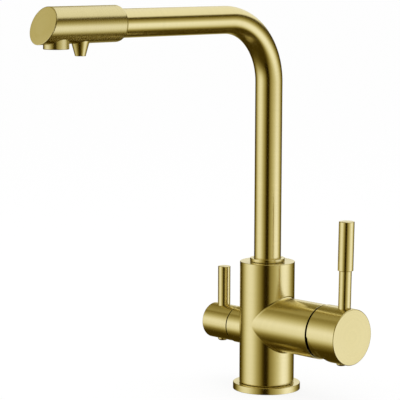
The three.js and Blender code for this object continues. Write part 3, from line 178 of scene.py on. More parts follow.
class TapSpoutSizes(bpy.types.PropertyGroup):
    """Sizes of the swivelling spout, its head and the two outlets."""

    tube_radius: length("Tube radius", "Outer radius of the spout's tube", 0.01227)
    tube_wall: length("Tube wall", "Wall of the spout's tube", 0.00137)
    spout_height: length("Spout height", "Height of the level run's axis", 0.3385)
    bend_radius: length("Bend radius", "Radius of the bend's centre line", 0.057)
    collar_radius: length("Collar radius", "Outer radius of the ring at the tube's foot", 0.0159)
    collar_height: length("Collar height", "Height of that ring", 0.0029)
    head_radius: length("Head radius", "Outer radius of the spout's head", 0.01543)
    head_start: distance("Head start", "the head's rear edge", 0.1815)
    head_face: distance("Head face", "the middle of the slanted face", 0.2624)
    face_lean: turn(
        "Face lean", "Angle by which the head's face leans back", math.radians(20.8), min=0.0, max=1.0)
    # painted shade: the same share also makes head and aerator housing darker
    head_rough_and_shaded: share("Head brushing", "How much rougher head and aerator housing are brushed", 0.07)
    cap_thickness: length("End cap", "How much of the end plate's edge stands out of the head", 0.0006)
    aerator_place: distance("Aerator place", "the aerator", 0.2485)
    aerator_radius: length("Aerator radius", "Outer radius of the aerator's housing", 0.0107)
    aerator_foot: length("Aerator foot", "Height of the housing's lower edge", 0.3191)
    nozzle_place: distance("Nozzle place", "the filter nozzle", 0.2228)
    nozzle_tip_radius: length("Nozzle tip radius", "Radius of the filter nozzle's lower end", 0.0044)
    nozzle_top_radius: length("Nozzle top radius", "Radius where the nozzle meets the head", 0.0078)
    nozzle_foot: length("Nozzle foot", "Height of the nozzle's lower end", 0.3127)


class TapFinishes(bpy.types.PropertyGroup):
    """Colours and surface of the finishes."""

    gold: colour("Brushed gold", "Colour of the visible metal", (0.87, 0.775, 0.43))
    gold_roughness: share("Gold roughness", "How much the brushing blurs what is reflected", 0.20)
    gold_grain: share("Gold grain", "How uneven the brushing lines are", 0.3)
    raw_brass: colour("Raw brass", "Colour of the machined brass inside", (0.60, 0.41, 0.15))
    copper: colour("Copper", "Colour of the drawn water pipes", (0.62, 0.27, 0.13))
    steel: colour("Steel", "Colour of screws, pin and clip", (0.46, 0.46, 0.45))
    ceramic: colour("Ceramic", "Colour of the sealing discs", (0.80, 0.78, 0.73))
    rubber: colour("Rubber", "Colour of gasket, seals and O-rings", (0.022, 0.022, 0.023))
    white_plastic: colour(
        "White plastic", "Colour of the cartridge, slide ring and inner tube", (0.74, 0.74, 0.71))
    grey_plastic: colour("Grey plastic", "Colour of the shell and the two inserts", (0.20, 0.20, 0.21))


class TapStudio(bpy.types.PropertyGroup):
    """The camera, the backdrop and the light."""

    camera_place: FloatVectorProperty(
        name="Camera place", description="Where the camera stands",
        default=(1.23421, -1.27363, 0.40337), size=3, unit="LENGTH", subtype="TRANSLATION")
    heading: turn("Heading", "Turn of the view direction about the upright axis, from +Y", 0.8045)
    dip: turn("Dip", "How far the view direction falls below the horizon", 0.1288)
    roll: turn("Roll", "Turn of the picture about the view direction", 0.0038)
    focal_length: FloatProperty(
        name="Focal length", description="Of the lens, in millimetres, on a sensor 36 mm wide",
        default=176.99, min=10.0, max=1000.0)
    floor_colour: colour("Floor", "Colour of floor and backdrop", (0.93, 0.93, 0.93))
    floor_white: share("Floor white", "Share of the floor's shadow left out where it is seen", 0.85)
    light_level: FloatProperty(
        name="Light level", description="Strength of the even light from all around", default=1.0,
        min=0.0, max=5.0)
    lamp_power: FloatProperty(
        name="Lamp power", description="Power of the large soft lamp overhead", default=6.0, min=0.0,
        max=1000.0, unit="POWER")


# -------- profiles and places

# A place is an origin, the direction of angle 0, the direction of angle 90 and the axis.


def upright(x=0.0, y=0.0):
    """Place of a piece turned about an upright axis."""
    return np.array([x, y, 0.0]), X, Y, Z


def along(axis, height):
    """Place of a piece turned about a level axis through the body's axis, with angle 0 at the top."""
    return np.array([0.0, 0.0, height]), Z, np.cross(axis, Z), np.asarray(axis, float)


def round_angles(turns):
    """Evenly spread angles of one whole turn."""
    return np.linspace(0.0, 2 * math.pi, turns, endpoint=False)


def softened(corners, closed=True):
    """A profile of (radius, height) points from corners of (radius, height, rounding).

    With unit legs a and b at a corner and h half the angle between them, the arc's centre is the
    corner + (a + b)/|a + b| * rounding / sin h, and it touches the legs at rounding / tan h. The
    points on it are a spherical blend of the two touching directions. One more point stands on each
    leg just outside the arc, so that shading changes only there. An open profile keeps its two ends.
    """
    corners = np.asarray(corners, float)
    corners, radii = corners[:, :2], corners[:, 2]
    back = np.roll(corners, 1, axis=0) - corners
    on = np.roll(corners, -1, axis=0) - corners
    back_leg = np.linalg.norm(back, axis=1)
    on_leg = np.linalg.norm(on, axis=1)
    back /= back_leg[:, None]
    on /= on_leg[:, None]
    half = np.arccos(np.clip((back * on).sum(axis=1), -1.0, 1.0)) / 2
    middle = back + on
    middle /= np.maximum(np.linalg.norm(middle, axis=1), 1e-12)[:, None]
    touch = radii / np.tan(half)
    centre = corners + middle * (radii / np.sin(half))[:, None]
    start = corners + back * touch[:, None] - centre
    end = corners + on * touch[:, None] - centre
    sweep = (math.pi - 2 * half)[:, None, None]
    t = np.linspace(0.0, 1.0, ROUNDING_STEPS + 1)[None, :, None]
    arcs = centre[:, None] + blended(start[:, None], end[:, None], sweep, t)
    before = corners + back * (touch + np.minimum(GUARD, 0.3 * (back_leg - touch)))[:, None]
    after = corners + on * (touch + np.minimum(GUARD, 0.3 * (on_leg - touch)))[:, None]
    rounded = np.concatenate([before[:, None], arcs, after[:, None]], axis=1)
    if closed:
        return rounded.reshape(-1, 2)
    return np.concatenate([corners[:1], rounded[1:-1].reshape(-1, 2), corners[-1:]])


def blended(start, end, sweep, t):
    """Spherical blend: (sin((1 - t) s) start + sin(t s) end) / sin s for the angle s between them."""
    return (np.sin((1 - t) * sweep) * start + np.sin(t * sweep) * end) / np.sin(sweep)


def arc(centre, radius, start, end, steps):
    """Points of a circle from one angle to another, in degrees from the radius direction."""
    angle = np.radians(np.linspace(start, end, steps + 1))
    return np.column_stack([centre[0] + radius * np.cos(angle), centre[1] + radius * np.sin(angle)])


def spun(profile, place, turns=TURNS):
    """Rows of a turned surface: origin + radius (cos a U + sin a V) + height W, over angles a."""
    origin, u, v, w = place
    angle = round_angles(turns)
    radial = np.cos(angle)[:, None] * u + np.sin(angle)[:, None] * v
    profile = np.asarray(profile, float)
    return origin + profile[:, None, :1] * radial[None] + profile[:, None, 1:] * w


def sunk(radius, at):
    """How deep points lie in a seam below a radius: (radius - D - at) / D from 0 to 1, for depth D."""
    return np.clip((radius - PAINTED_SHADE_DEPTH - at) / PAINTED_SHADE_DEPTH, 0.0, 1.0)


# -------- meshes


def shell(rows, loop=True, painted_shade=0.0):
    """Vertices, faces, brushing, cross direction and painted shade of a closed surface from its point
    grid.

    Rows follow a profile and columns go round it. With loop the last row joins the first, without
    it the first and last rows are single points, the poles. The brushing value of a vertex is the
    length along the profile up to it, and its cross direction is the profile's own direction, at
    right angles to the brushing lines. The painted shade value of a row is 1 deep in a gap, where the
    shade between the pieces is painted dark onto the metal, and 0 outside. Faces are turned so that the
    enclosed volume is positive.
    """
    count, turns = rows.shape[:2]
    step = np.linalg.norm(np.diff(rows, axis=0), axis=2).mean(axis=1)
    lengths = np.concatenate([[0.0], np.cumsum(step)])
    across = np.gradient(rows, axis=0)
    across /= np.maximum(np.linalg.norm(across, axis=2), 1e-9)[:, :, None]
    index = np.arange(count * turns).reshape(count, turns)
    if not loop:
        index[0], index[-1] = index[0, 0], index[-1, 0]
    first = index if loop else index[:-1]
    second = np.roll(index, -1, axis=0) if loop else index[1:]
    quads = np.stack([first, np.roll(first, -1, 1), np.roll(second, -1, 1), second], axis=2)
    quads, points = quads.reshape(-1, 4), rows.reshape(-1, 3)
    a, b, c, d = (points[quads[:, i]] for i in range(4))
    volume = (np.einsum("ij,ij->i", a, np.cross(b, c)) + np.einsum("ij,ij->i", a, np.cross(c, d))).sum()
    if volume < 0:
        quads = quads[:, ::-1]
    deep = np.repeat(np.broadcast_to(np.asarray(painted_shade, float), (count,)), turns)
    return points, quads, np.repeat(lengths, turns), across.reshape(-1, 3), deep


def turned(place, corners, turns=TURNS):
    """The closed surface of a softened profile spun about its place's axis. A profile that starts on
    the axis ends on it too, and is left open there."""
    open_ended = corners[0][0] == 0.0
    return shell(spun(softened(corners, closed=not open_ended), place, turns), loop=not open_ended)


def split_faces(quads):
    """The triangles at a pole, where a quad names one vertex twice, and the true quads."""
    twice = quads == np.roll(quads, -1, axis=1)
    at_pole = twice.any(axis=1)
    return quads[at_pole][~twice[at_pole]].reshape(-1, 3), quads[~at_pole]


def put(name, mesh, material):
    """An object in the scene from a mesh and its material."""
    mesh.materials.append(material)
    piece = bpy.data.objects.new(name, mesh)
    bpy.context.scene.collection.objects.link(piece)
    return piece


def gold_piece(node, body, *shells, rough_and_shaded=0.0):
    """A piece of the visible brushed metal from closed shells, in place of the frame node of that
    name. Its mesh stores the brushing, the direction across it and the painted shade of its seams."""
    starts = np.cumsum([0] + [len(part[0]) for part in shells])
    quads = np.concatenate([part[1] + start for part, start in zip(shells, starts)])
    points, brushing, across, painted_shade = (
        np.concatenate([part[i] for part in shells]) for i in (0, 2, 3, 4))
    used, packed = np.unique(quads, return_inverse=True)
    triangles, quads = split_faces(packed.reshape(quads.shape))
    mesh = bpy.data.meshes.new("brushed_" + node)
    mesh.from_pydata(points[used].tolist(), [], triangles.tolist() + quads.tolist())
    for name, kind, field, values in (
            ("brushing", "FLOAT", "value", brushing),
            ("across", "FLOAT_VECTOR", "vector", across),
            ("painted_shade", "FLOAT", "value", painted_shade)):
        mesh.attributes.new(name, kind, "POINT").data.foreach_set(
            field, values[used].astype(np.float32).ravel())
    mesh.polygons.foreach_set("use_smooth", np.ones(len(mesh.polygons), dtype=bool))
    mesh.set_sharp_from_angle(angle=SHARP_ANGLE)
    mesh.validate()
    mesh.update()
    piece = put("brushed_" + node, mesh, brushed_gold(rough_and_shaded))
    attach(piece, body)
    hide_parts(node)


# -------- materials


class Nodes:
    """Builds the node tree of a material or a world from short calls."""

    def __init__(self, owner, output="ShaderNodeOutputMaterial"):
        owner.use_nodes = True
        self.owner = owner
        self.tree = owner.node_tree
        self.tree.nodes.clear()
        self.out = self.tree.nodes.new(output)

    def add(self, kind, settings=None, **inputs):
        """A node with its settings, and its named inputs fed with values or other sockets."""
        node = self.tree.nodes.new(kind)
        for key, value in (settings or {}).items():
            setattr(node, key, value)
        for key, value in inputs.items():
            self.feed(node.inputs[key.replace("_", " ")], value)
        return node

    def feed(self, socket, value):
        """Links a socket to another one, or sets it to a value."""
        if isinstance(value, bpy.types.NodeSocket):
            self.tree.links.new(value, socket)
        else:
            socket.default_value = value

    def math(self, operation, first, second):
        """Two numbers put together."""
        node = self.add("ShaderNodeMath", {"operation": operation})
        self.feed(node.inputs[0], first)
        self.feed(node.inputs[1], second)
        return node.outputs[0]

    def mean(self, first, second, weight):
        """The weighted mean of two numbers, with the weight of the first."""
        return self.math(
            "ADD", self.math("MULTIPLY", first, weight), self.math("MULTIPLY", second, 1.0 - weight))

    def scaled(self, vector, factor):
        """A vector or colour times a number, a vector or a socket."""
        node = self.add("ShaderNodeVectorMath", {"operation": "MULTIPLY"})
        self.feed(node.inputs[0], vector)
        self.feed(node.inputs[1], (factor, factor, factor) if isinstance(factor, float) else factor)
        return node.outputs[0]

    def attribute(self, name, output):
        """What the mesh stores under a name."""
        return self.add("ShaderNodeAttribute", {"attribute_name": name}).outputs[output]

    def noise(self, vector, scale, detail, **inputs):
        """A noise from 0 to 1."""
        settings = {"noise_dimensions": "4D"} if "W" in inputs else None
        node = self.add(
            "ShaderNodeTexNoise", settings, Vector=vector, Scale=scale, Detail=detail, **inputs)
        return node.outputs["Fac"]

    def between(self, factor, low, high):
        """A number that runs from low to high as factor runs from 0 to 1."""
        node = self.add("ShaderNodeMapRange", {"clamp": True}, Value=factor, To_Min=low, To_Max=high)
        return node.outputs["Result"]

    def tones(self, factor, low, high):
        """A colour that runs from low to high as factor runs from a quarter to three quarters."""
        node = self.add("ShaderNodeValToRGB", Fac=factor)
        for element, rgb, position in zip(node.color_ramp.elements, (low, high), (0.25, 0.75)):
            element.color = (*rgb, 1.0)
            element.position = position
        return node.outputs["Color"]

    def bump(self, height, strength, relief):
        """The surface's direction, tilted by a height."""
        node = self.add("ShaderNodeBump", Strength=strength, Distance=relief, Height=height)
        return node.outputs["Normal"]

    def surface(self, shader):
        """Makes a shader the tree's surface."""
        self.feed(self.out.inputs["Surface"], shader.outputs[0])
        return self.owner

    def mixed(self, factor, first, second):
        """Makes the first shader the surface where factor is 0, and the second where it is 1."""
        mix = self.add("ShaderNodeMixShader", Fac=factor)
        self.feed(mix.inputs[1], first.outputs[0])
        self.feed(mix.inputs[2], second.outputs[0])
        return self.surface(mix)

    def seen(self):
        """1 for rays from the camera, a mirror or glass, and 0 for the rays that carry light about."""
        path = self.add("ShaderNodeLightPath").outputs
        return self.math(
            "MAXIMUM", self.math("MAXIMUM", path["Is Camera Ray"], path["Is Glossy Ray"]),
            path["Is Transmission Ray"])


def shaded(rgb, factor):
    """A colour made lighter or darker by one factor."""
    return tuple(min(1.0, channel * factor) for channel in rgb)


def brushed_gold(rough_and_shaded):
    """Satin gold with fine lines round each turned piece, rougher by rough_and_shaded and darker by
    that share, the darker tone being painted shade.

    Three noises, each long round the piece and short along its profile, give the lines: the finest
    moves the surface and the roughness, the next the roughness and the tone, and the widest the tone.
    Their fourth coordinate is the brushing value stored on the mesh, so no line has an end or a seam.
    """
    name = "rough gold with painted shade" if rough_and_shaded else "brushed gold"
    if name in bpy.data.materials:
        return bpy.data.materials[name]
    finish = bpy.context.scene.tap_finishes
    build = Nodes(bpy.data.materials.new(name))
    place = build.add("ShaderNodeTexCoord").outputs["Object"]
    stored = build.attribute("brushing", "Fac")
    fine, middle, wide = (
        build.noise(build.scaled(place, round_it), 1.0, 2.0, Roughness=0.6,
                    W=build.math("MULTIPLY", stored, along_it))
        for round_it, along_it in (FINE_LINES, MIDDLE_LINES, WIDE_LINES))
    grain = finish.gold_grain
    # painted shade: a darker copy of the gold for the rougher pieces
    gold = shaded(finish.gold, 1.0 - rough_and_shaded)
    tone = build.tones(
        build.mean(wide, middle, 0.5), shaded(gold, 1.0 - DARKER * grain),
        shaded(gold, 1.0 + LIGHTER * grain))
    # painted shade: deep in a seam the tone falls to PAINTED_SHADE_TONE of itself, standing in for the
    # shade between pieces
    tone = build.scaled(tone, build.between(build.attribute("painted_shade", "Fac"), 1.0, PAINTED_SHADE_TONE))
    roughness, spread = finish.gold_roughness + rough_and_shaded, ROUGHER * grain
    tangent = build.add(
        "ShaderNodeVectorTransform",
        {"vector_type": "VECTOR", "convert_from": "OBJECT", "convert_to": "WORLD"},
        Vector=build.attribute("across", "Vector")).outputs["Vector"]
    return build.surface(build.add(
        "ShaderNodeBsdfPrincipled", Base_Color=tone, Metallic=1.0,
        Roughness=build.between(build.mean(fine, middle, 0.6), roughness - spread, roughness + spread),
        Anisotropic=0.55, Tangent=tangent, Normal=build.bump(fine, RELIEF * grain, LINE_HEIGHT)))


def machined(name, rgb, roughness):
    """Bare metal with the fine rings that a cutting tool leaves and a little uneven tarnish."""
    build = Nodes(bpy.data.materials.new(name))
    place = build.add("ShaderNodeTexCoord").outputs["Object"]
    cloud = build.noise(place, 140.0, 4.0, Roughness=0.6)
    cuts = build.noise(build.scaled(place, (900.0, 900.0, 5000.0)), 1.0, 2.0)
    return build.surface(build.add(
        "ShaderNodeBsdfPrincipled", Metallic=1.0,
        Base_Color=build.tones(cloud, shaded(rgb, 0.84), shaded(rgb, 1.1)),
        Roughness=build.between(cuts, roughness - 0.07, roughness + 0.09),
        Normal=build.bump(cuts, 0.2, 0.00003)))


def moulded(name, rgb, roughness, relief, coat=0.0):
    """Moulded or fired material: even colour with a faint mottle and a fine skin."""
    build = Nodes(bpy.data.materials.new(name))
    place = build.add("ShaderNodeTexCoord").outputs["Object"]
    mottle = build.noise(place, 260.0, 3.0, Roughness=0.5)
    skin = build.noise(place, 3800.0, 2.0, Roughness=0.5)
    return build.surface(build.add(
        "ShaderNodeBsdfPrincipled", Coat_Weight=coat,
        Base_Color=build.tones(mottle, shaded(rgb, 0.92), shaded(rgb, 1.06)),
        Roughness=build.between(skin, roughness - 0.05, roughness + 0.06),
        Normal=build.bump(skin, 0.3, relief)))


# -------- shapes of this tap


def arm_shell(outward, height, radius, wall, end, inner_start, body_radius, fillet):
    """A hollow arm that flows into the upright body.

    A ball of the fillet's radius f rolls in the corner between the arm, of radius r, and the body, of
    radius R. For the angle a round the arm its centre is S = (r + f) sin a to the side and
    C = (r + f) cos a above the arm's axis, and O = sqrt((R + f)^2 - S^2) out from the body's axis. It
    touches the arm at (O, r sin a, r cos a) and the body at (O, S) R / (R + f), at height C. Between
    them the surface is the ball's own, a spherical blend of the two directions from its centre.
    """
    origin, u, v, w = along(outward, height)
    angle = round_angles(TURNS)
    side, top = np.sin(angle), np.cos(angle)
    centre = np.stack([(radius + fillet) * top, (radius + fillet) * side,
                       np.sqrt((body_radius + fillet) ** 2 - ((radius + fillet) * side) ** 2)], axis=1)
    on_arm = np.stack([radius * top, radius * side, centre[:, 2]], axis=1) - centre
    shrink = body_radius / (body_radius + fillet)
    on_body = centre * np.array([1.0, shrink, shrink]) - centre
    sweep = np.arccos(np.clip((on_arm * on_body).sum(axis=1) / fillet ** 2, -1.0, 1.0))[None, :, None]
    hollow_rows = 19
    t = np.linspace(0.0, 1.0, hollow_rows)[:, None, None]
    hollow = centre + blended(on_arm, on_body, sweep, t)

    # the straight part runs between the rounded rim and the rolling ball's first contact
    rim_rounding = 0.00018
    inner = radius - wall
    rim = softened([(inner, inner_start, 0.0), (inner, end, rim_rounding), (radius, end, rim_rounding),
                    (radius, inner_start, 0.0)], closed=False)[1:-1]
    r, h = rim.T[:, :, None]
    rim_rows = np.stack([r * top, r * side, h + 0 * top], axis=2)
    bore = np.stack([inner * top, inner * side, np.full(TURNS, inner_start)], axis=1)
    way_in = np.array([0.15, 0.4, 0.7, 0.9, 0.97])[:, None, None]
    straight = rim_rows[-1] * (1 - way_in) + hollow[0] * way_in
    tucked_in = 0.985  # puts the last row inside the body
    under_body = hollow[-1] * np.array([1.0, tucked_in, tucked_in])
    rows = np.concatenate([bore[None], rim_rows, straight, hollow, under_body[None]])
    # painted shade on the rim's inner wall, darker the deeper it lies in the seam between arm and cap
    painted_shade = np.zeros(len(rows))
    painted_shade[:len(rim) + 1] = sunk(radius, np.append(rim[0, 0], rim[:, 0]))
    return shell(origin + rows[:, :, :1] * u + rows[:, :, 1:2] * v + rows[:, :, 2:] * w, painted_shade=painted_shade)


def tube_shell(radius, wall, foot, height, bend, end):
    """The spout's tube: a circle carried up, round a quarter bend and out along -Y.

    The centre line is (0, 0, h), then for the angle a in the bend (0, -B (1 - cos a), H - B + B sin a),
    then (0, -y, H), with B the bend's radius and H the level run's height. The circle lies across the
    line's direction T, spanned by X and T x X. The inner wall runs back the same way.
    """
    rise_rows, bend_rows, run_rows = 11, 49, 9
    quarter = np.linspace(0.0, math.pi / 2, bend_rows)
    rise = np.linspace(foot, height - bend, rise_rows + 1)[:-1]
    run = np.linspace(bend, end, run_rows + 1)[1:]
    bend_out, bend_up = -bend * (1 - np.cos(quarter)), height - bend + bend * np.sin(quarter)
    centre = np.concatenate([
        np.stack([0 * rise, 0 * rise, rise], axis=1),
        np.stack([0 * quarter, bend_out, bend_up], axis=1),
        np.stack([0 * run, -run, height + 0 * run], axis=1)])
    heading = np.concatenate([0 * rise, quarter, math.pi / 2 + 0 * run])
    outer_side = np.stack([0 * heading, np.cos(heading), np.sin(heading)], axis=1)
    angle = round_angles(TURNS)

    def rows(r):
        return centre[:, None] + r * (
            np.cos(angle)[None, :, None] * outer_side[:, None] + np.sin(angle)[None, :, None] * X)

    return shell(np.concatenate([rows(radius), rows(radius - wall)[::-1]]))


def leaning(rows, place, amount, lean):
    """Moves rows back along the axis by amount (0 to 1) times their height above it times lean."""
    origin, u, _, w = place
    above = ((rows - origin) @ u)[:, :, None]
    return rows - amount[:, None, None] * above * lean * w


def cap_profile(radius, wall, rim, face, floor, face_edge, floor_edge):
    """The profile of a cap that is hollow up to its floor, from the middle of its face round the rim
    to the middle of the floor, and its painted shade: how deep each point lies in the seam at the rim."""
    inner = radius - wall
    profile = softened([
        (0.0, face, 0.0), (radius, face, face_edge), (radius, rim, EASED), (inner, rim, EASED),
        (inner, floor, floor_edge), (0.0, floor, 0.0)], closed=False)
    face_zone = 0.004
    return profile, sunk(radius, profile[:, 0]) * (profile[:, 1] < face - face_zone)


def plug_shell(x, height, cap_radius, size):
    """A low button on the underside of a cap: a rounded disc whose root is sunk in the cap."""
    sunk_by, rounding, radius = 0.0012, 0.0017, size.plug_radius
    root, foot = cap_radius - sunk_by, cap_radius + size.plug_height
    return turned((np.array([x, 0.0, height]), X, -Y, -Z), [
        (0.0, foot, 0.0), (radius, foot, rounding), (radius, root, EASED), (0.0, root, 0.0)],
        SMALL_TURNS)


def rod_shell(x, radius, foot, top, top_edge, foot_edge=EASED, lean=0.0):
    """An upright rod, moved out by lean times the height above where the mixer's leaves its cap."""
    lean_from = 0.0873
    profile = softened([(0.0, foot, 0.0), (radius, foot, foot_edge), (radius, top, top_edge),
                        (0.0, top, 0.0)], closed=False)
    rows = spun(profile, upright(x), SMALL_TURNS)
    return shell(rows + (rows[:, :, 2:] - lean_from) * lean * X, loop=False)


# -------- operators


class TAP_OT_body(bpy.types.Operator):
    """Turns the base flange and the body with its two arms"""

    bl_idname = "tap.build_body"
    bl_label = "Base and body"

    def execute(self, context):
        size = context.scene.tap_body
        hole, radius, top = 0.0229, size.flange_radius, size.flange_height
        groove_from, groove_to, groove_depth = 0.0257, 0.0285, 0.0023
        gold_piece("base_flange", "tap_body", turned(upright(), [
            (hole, 0.0, CRISP), (groove_from, 0.0, CRISP), (groove_from, groove_depth, CRISP),
            (groove_to, groove_depth, CRISP), (groove_to, 0.0, CRISP), (radius, 0.0, EASED),
            (radius, top, 0.0006), (hole, top, EASED)]))

        radius, foot, top = size.body_radius, size.flange_height + GAP, size.body_top
        spigot_bore, spigot, spigot_top = 0.0194, 0.0226, 0.012
        bore, bore_from, roof_hole, roof_from = 0.0215, 0.014, 0.014, 0.108
        arm_wall, mixer_from, valve_from = 0.0033, 0.008, 0.015
        gold_piece(
            "main_body", "tap_body",
            turned(upright(), [
                (spigot_bore, 0.0, EASED), (spigot, 0.0, EASED), (spigot, foot, CRISP),
                (radius, foot, 0.0006), (radius, top, 0.0005), (roof_hole, top, EASED),
                (roof_hole, roof_from, EASED), (bore, roof_from, EASED), (bore, bore_from, EASED),
                (spigot_bore, spigot_top, EASED)], 2 * TURNS),
            arm_shell(X, size.arm_height, size.arm_radius, arm_wall, size.arm_end, mixer_from,
                      radius, size.arm_fillet),
            arm_shell(-X, size.valve_height, size.valve_radius, arm_wall, size.valve_end, valve_from,
                      radius, size.valve_fillet))
        return {"FINISHED"}


class TAP_OT_mixer(bpy.types.Operator):
    """Turns the mixer's dome ring, cap and lever"""

    bl_idname = "tap.build_mixer"
    bl_label = "Mixer handle"

    def execute(self, context):
        size = context.scene.tap_handles
        height = context.scene.tap_body.arm_height
        place = along(X, height)
        bore, sleeve, sleeve_from = 0.0183, 0.0205, 0.07
        nose, nose_at, opening, opening_from = 0.0156, 0.0818, 0.015, 0.0753
        tilt_centre, ball_radius, dark_within = (0.0, 0.074), 0.0236, 0.021
        ball = arc(tilt_centre, ball_radius, -4.0, 8.5, 12)
        dome = np.concatenate([
            [(bore, sleeve_from), (sleeve, sleeve_from), (sleeve, ball[0, 1])], ball,
            [(nose, nose_at), (opening, nose_at), (opening, opening_from), (bore, opening_from)]])
        # painted shade: the dome ring is painted dark inside dark_within, deep in the seam under the
        # cap
        gold_piece("mixer_dome_ring", "tap_body",
                   shell(spun(dome, place), painted_shade=dome[:, 0] < dark_within))

        # the rim leans outwards below the axis, and the lean fades out towards the lever
        wall, face_wall, fade_length = 0.0012, 0.0045, 0.018
        floor = size.cap_end - face_wall
        profile, painted_shade = cap_profile(
            size.cap_radius, wall, size.cap_start, size.cap_end, floor, 0.0008, 0.001)
        rows = spun(profile, place)
        fade = np.clip((size.cap_start + fade_length - profile[:, 1]) / fade_length, 0.0, 1.0)
        below = np.minimum((rows - place[0]) @ Z, 0.0)[:, :, None]
        rows = rows - fade[:, None, None] * below * size.cap_lean * X
        gold_piece("mixer_cap", "mixer_handle", shell(rows, loop=False, painted_shade=painted_shade))

        plug_at, rod_foot = 0.092, 0.0757
        gold_piece("cap_screw_plug", "mixer_handle", plug_shell(plug_at, height, size.cap_radius, size))
        at, lean = size.lever_place, size.lever_lean
        gold_piece("lever_rod", "mixer_handle", rod_shell(
            at, size.rod_radius, rod_foot, size.grip_foot - GAP, EASED, EASED, lean))
        gold_piece("lever_grip", "mixer_handle", rod_shell(
            at, size.grip_radius, size.grip_foot, size.grip_top, 0.0007, FINE, lean))
        return {"FINISHED"}


class TAP_OT_filter_valve(bpy.types.Operator):
    """Turns the filter valve's cap and lever"""

    bl_idname = "tap.build_filter_valve"
    bl_label = "Filter valve handle"

    def execute(self, context):
        size = context.scene.tap_handles
        height = context.scene.tap_body.valve_height
        wall, floor, plug_at, lever_foot = 0.0016, 0.05, 0.0575, 0.0627
        profile, painted_shade = cap_profile(size.valve_cap_radius, wall, size.valve_cap_start,
                                      size.valve_cap_end, floor, 0.0007, 0.0005)
        gold_piece("filter_cap", "filter_handle",
                   shell(spun(profile, along(-X, height)), loop=False, painted_shade=painted_shade))
        gold_piece("filter_screw_plug", "filter_handle",
                   plug_shell(-plug_at, height, size.valve_cap_radius, size))
        gold_piece("filter_lever", "filter_handle", rod_shell(
            -size.valve_lever_place, size.valve_lever_radius, lever_foot, size.valve_lever_top, 0.0007))
        return {"FINISHED"}


class TAP_OT_spout(bpy.types.Operator):
    """Bends the spout's tube and turns its collar, head and outlets"""

    bl_idname = "tap.build_spout"
    bl_label = "Spout and outlets"

    def execute(self, context):
        size = context.scene.tap_spout
        foot = context.scene.tap_body.body_top + GAP
        top = foot + size.collar_height
        bore = size.tube_radius + GAP
        gold_piece("spout_collar", "tap_body", turned(upright(), [
            (bore, foot, EASED), (size.collar_radius, foot, EASED), (size.collar_radius, top, 0.0004),
            (bore, top, FINE)]))
        tube_foot, tube_end = 0.1003, 0.194
        gold_piece("spout_tube", "spout", tube_shell(
            size.tube_radius, size.tube_wall, tube_foot, size.spout_height, size.bend_radius, tube_end))
        self.head(size, bore)
        self.outlets(size)
        return {"FINISHED"}

    def head(self, size, bore):
        """The head is a turned sleeve whose front is cut along a plane that leans back, and its end
        plate is a disc under the same plane: each point moves back by its height above the axis times
        the tangent of the lean."""
        place = along(-Y, size.spout_height)
        lean = math.tan(size.face_lean)
        plate = size.cap_thickness / math.cos(size.face_lean)
        front = size.head_face - plate - GAP / math.cos(size.face_lean)
        wall, shoulder, tube_stop, lip_end, straight_to = 0.0022, 0.004, 0.1944, 0.196, 0.225
        radius, rear = size.head_radius, size.head_start
        inner, tube_inner = radius - wall, size.tube_radius - size.tube_wall
        sleeve = np.concatenate([
            [(bore, rear + 0.0001), (bore + 0.00005, rear)],
            arc((radius - shoulder, rear + 0.00376), shoulder, -70, 0, 16),
            [(radius, rear + 0.006), (radius, 0.2), (radius, straight_to), (radius, front - 0.0007)],
            arc((radius - FINE, front - FINE), FINE, 0, 90, 6),
            [(inner, front), (inner, 0.22), (inner, lip_end), (tube_inner, lip_end),
             (tube_inner, tube_stop), (bore, tube_stop)]])
        cut = (sleeve[:, 1] > straight_to).astype(float)
        gold_piece("spout_head", "spout", shell(leaning(spun(sleeve, place), place, cut, lean)),
                   rough_and_shaded=size.head_rough_and_shaded)

        disc = softened(
            [(0.0, size.head_face, 0.0), (radius, size.head_face, 0.0004),
             (radius, size.head_face - plate, FINE), (0.0, size.head_face - plate, 0.0)], closed=False)
        rows = leaning(spun(disc, place), place, np.ones(len(disc)), lean)
        gold_piece("head_end_cap", "spout", shell(rows, loop=False))

    def outlets(self, size):
        """The housings stand under the head, with their upper ends inside its wall."""
        radius, foot = size.aerator_radius, size.aerator_foot
        bore, ledge, ledge_at, top = 0.0084, 0.0065, foot + 0.0062, foot + 0.0092
        housing = turned(upright(y=-size.aerator_place), [
            (bore, foot, FINE), (radius, foot, 0.0005), (radius, top, EASED), (ledge, top, EASED),
            (ledge, ledge_at, EASED), (bore, ledge_at, EASED)], SMALL_TURNS)
        gold_piece("aerator_housing", "spout", housing, rough_and_shaded=size.head_rough_and_shaded)

        tip, wide, foot = size.nozzle_tip_radius, size.nozzle_top_radius, size.nozzle_foot
        mouth, mouth_top, bore, cone_top, top = 0.0032, foot + 0.0033, 0.002, 0.325, 0.327
        gold_piece("filter_nozzle", "spout", turned(upright(y=-size.nozzle_place), [
            (mouth, foot, EASED), (tip, foot, FINE), (wide, cone_top, 0.0004), (wide, top, EASED),
            (bore, top, EASED), (bore, mouth_top, CRISP), (mouth, mouth_top, CRISP)], SMALL_TURNS))


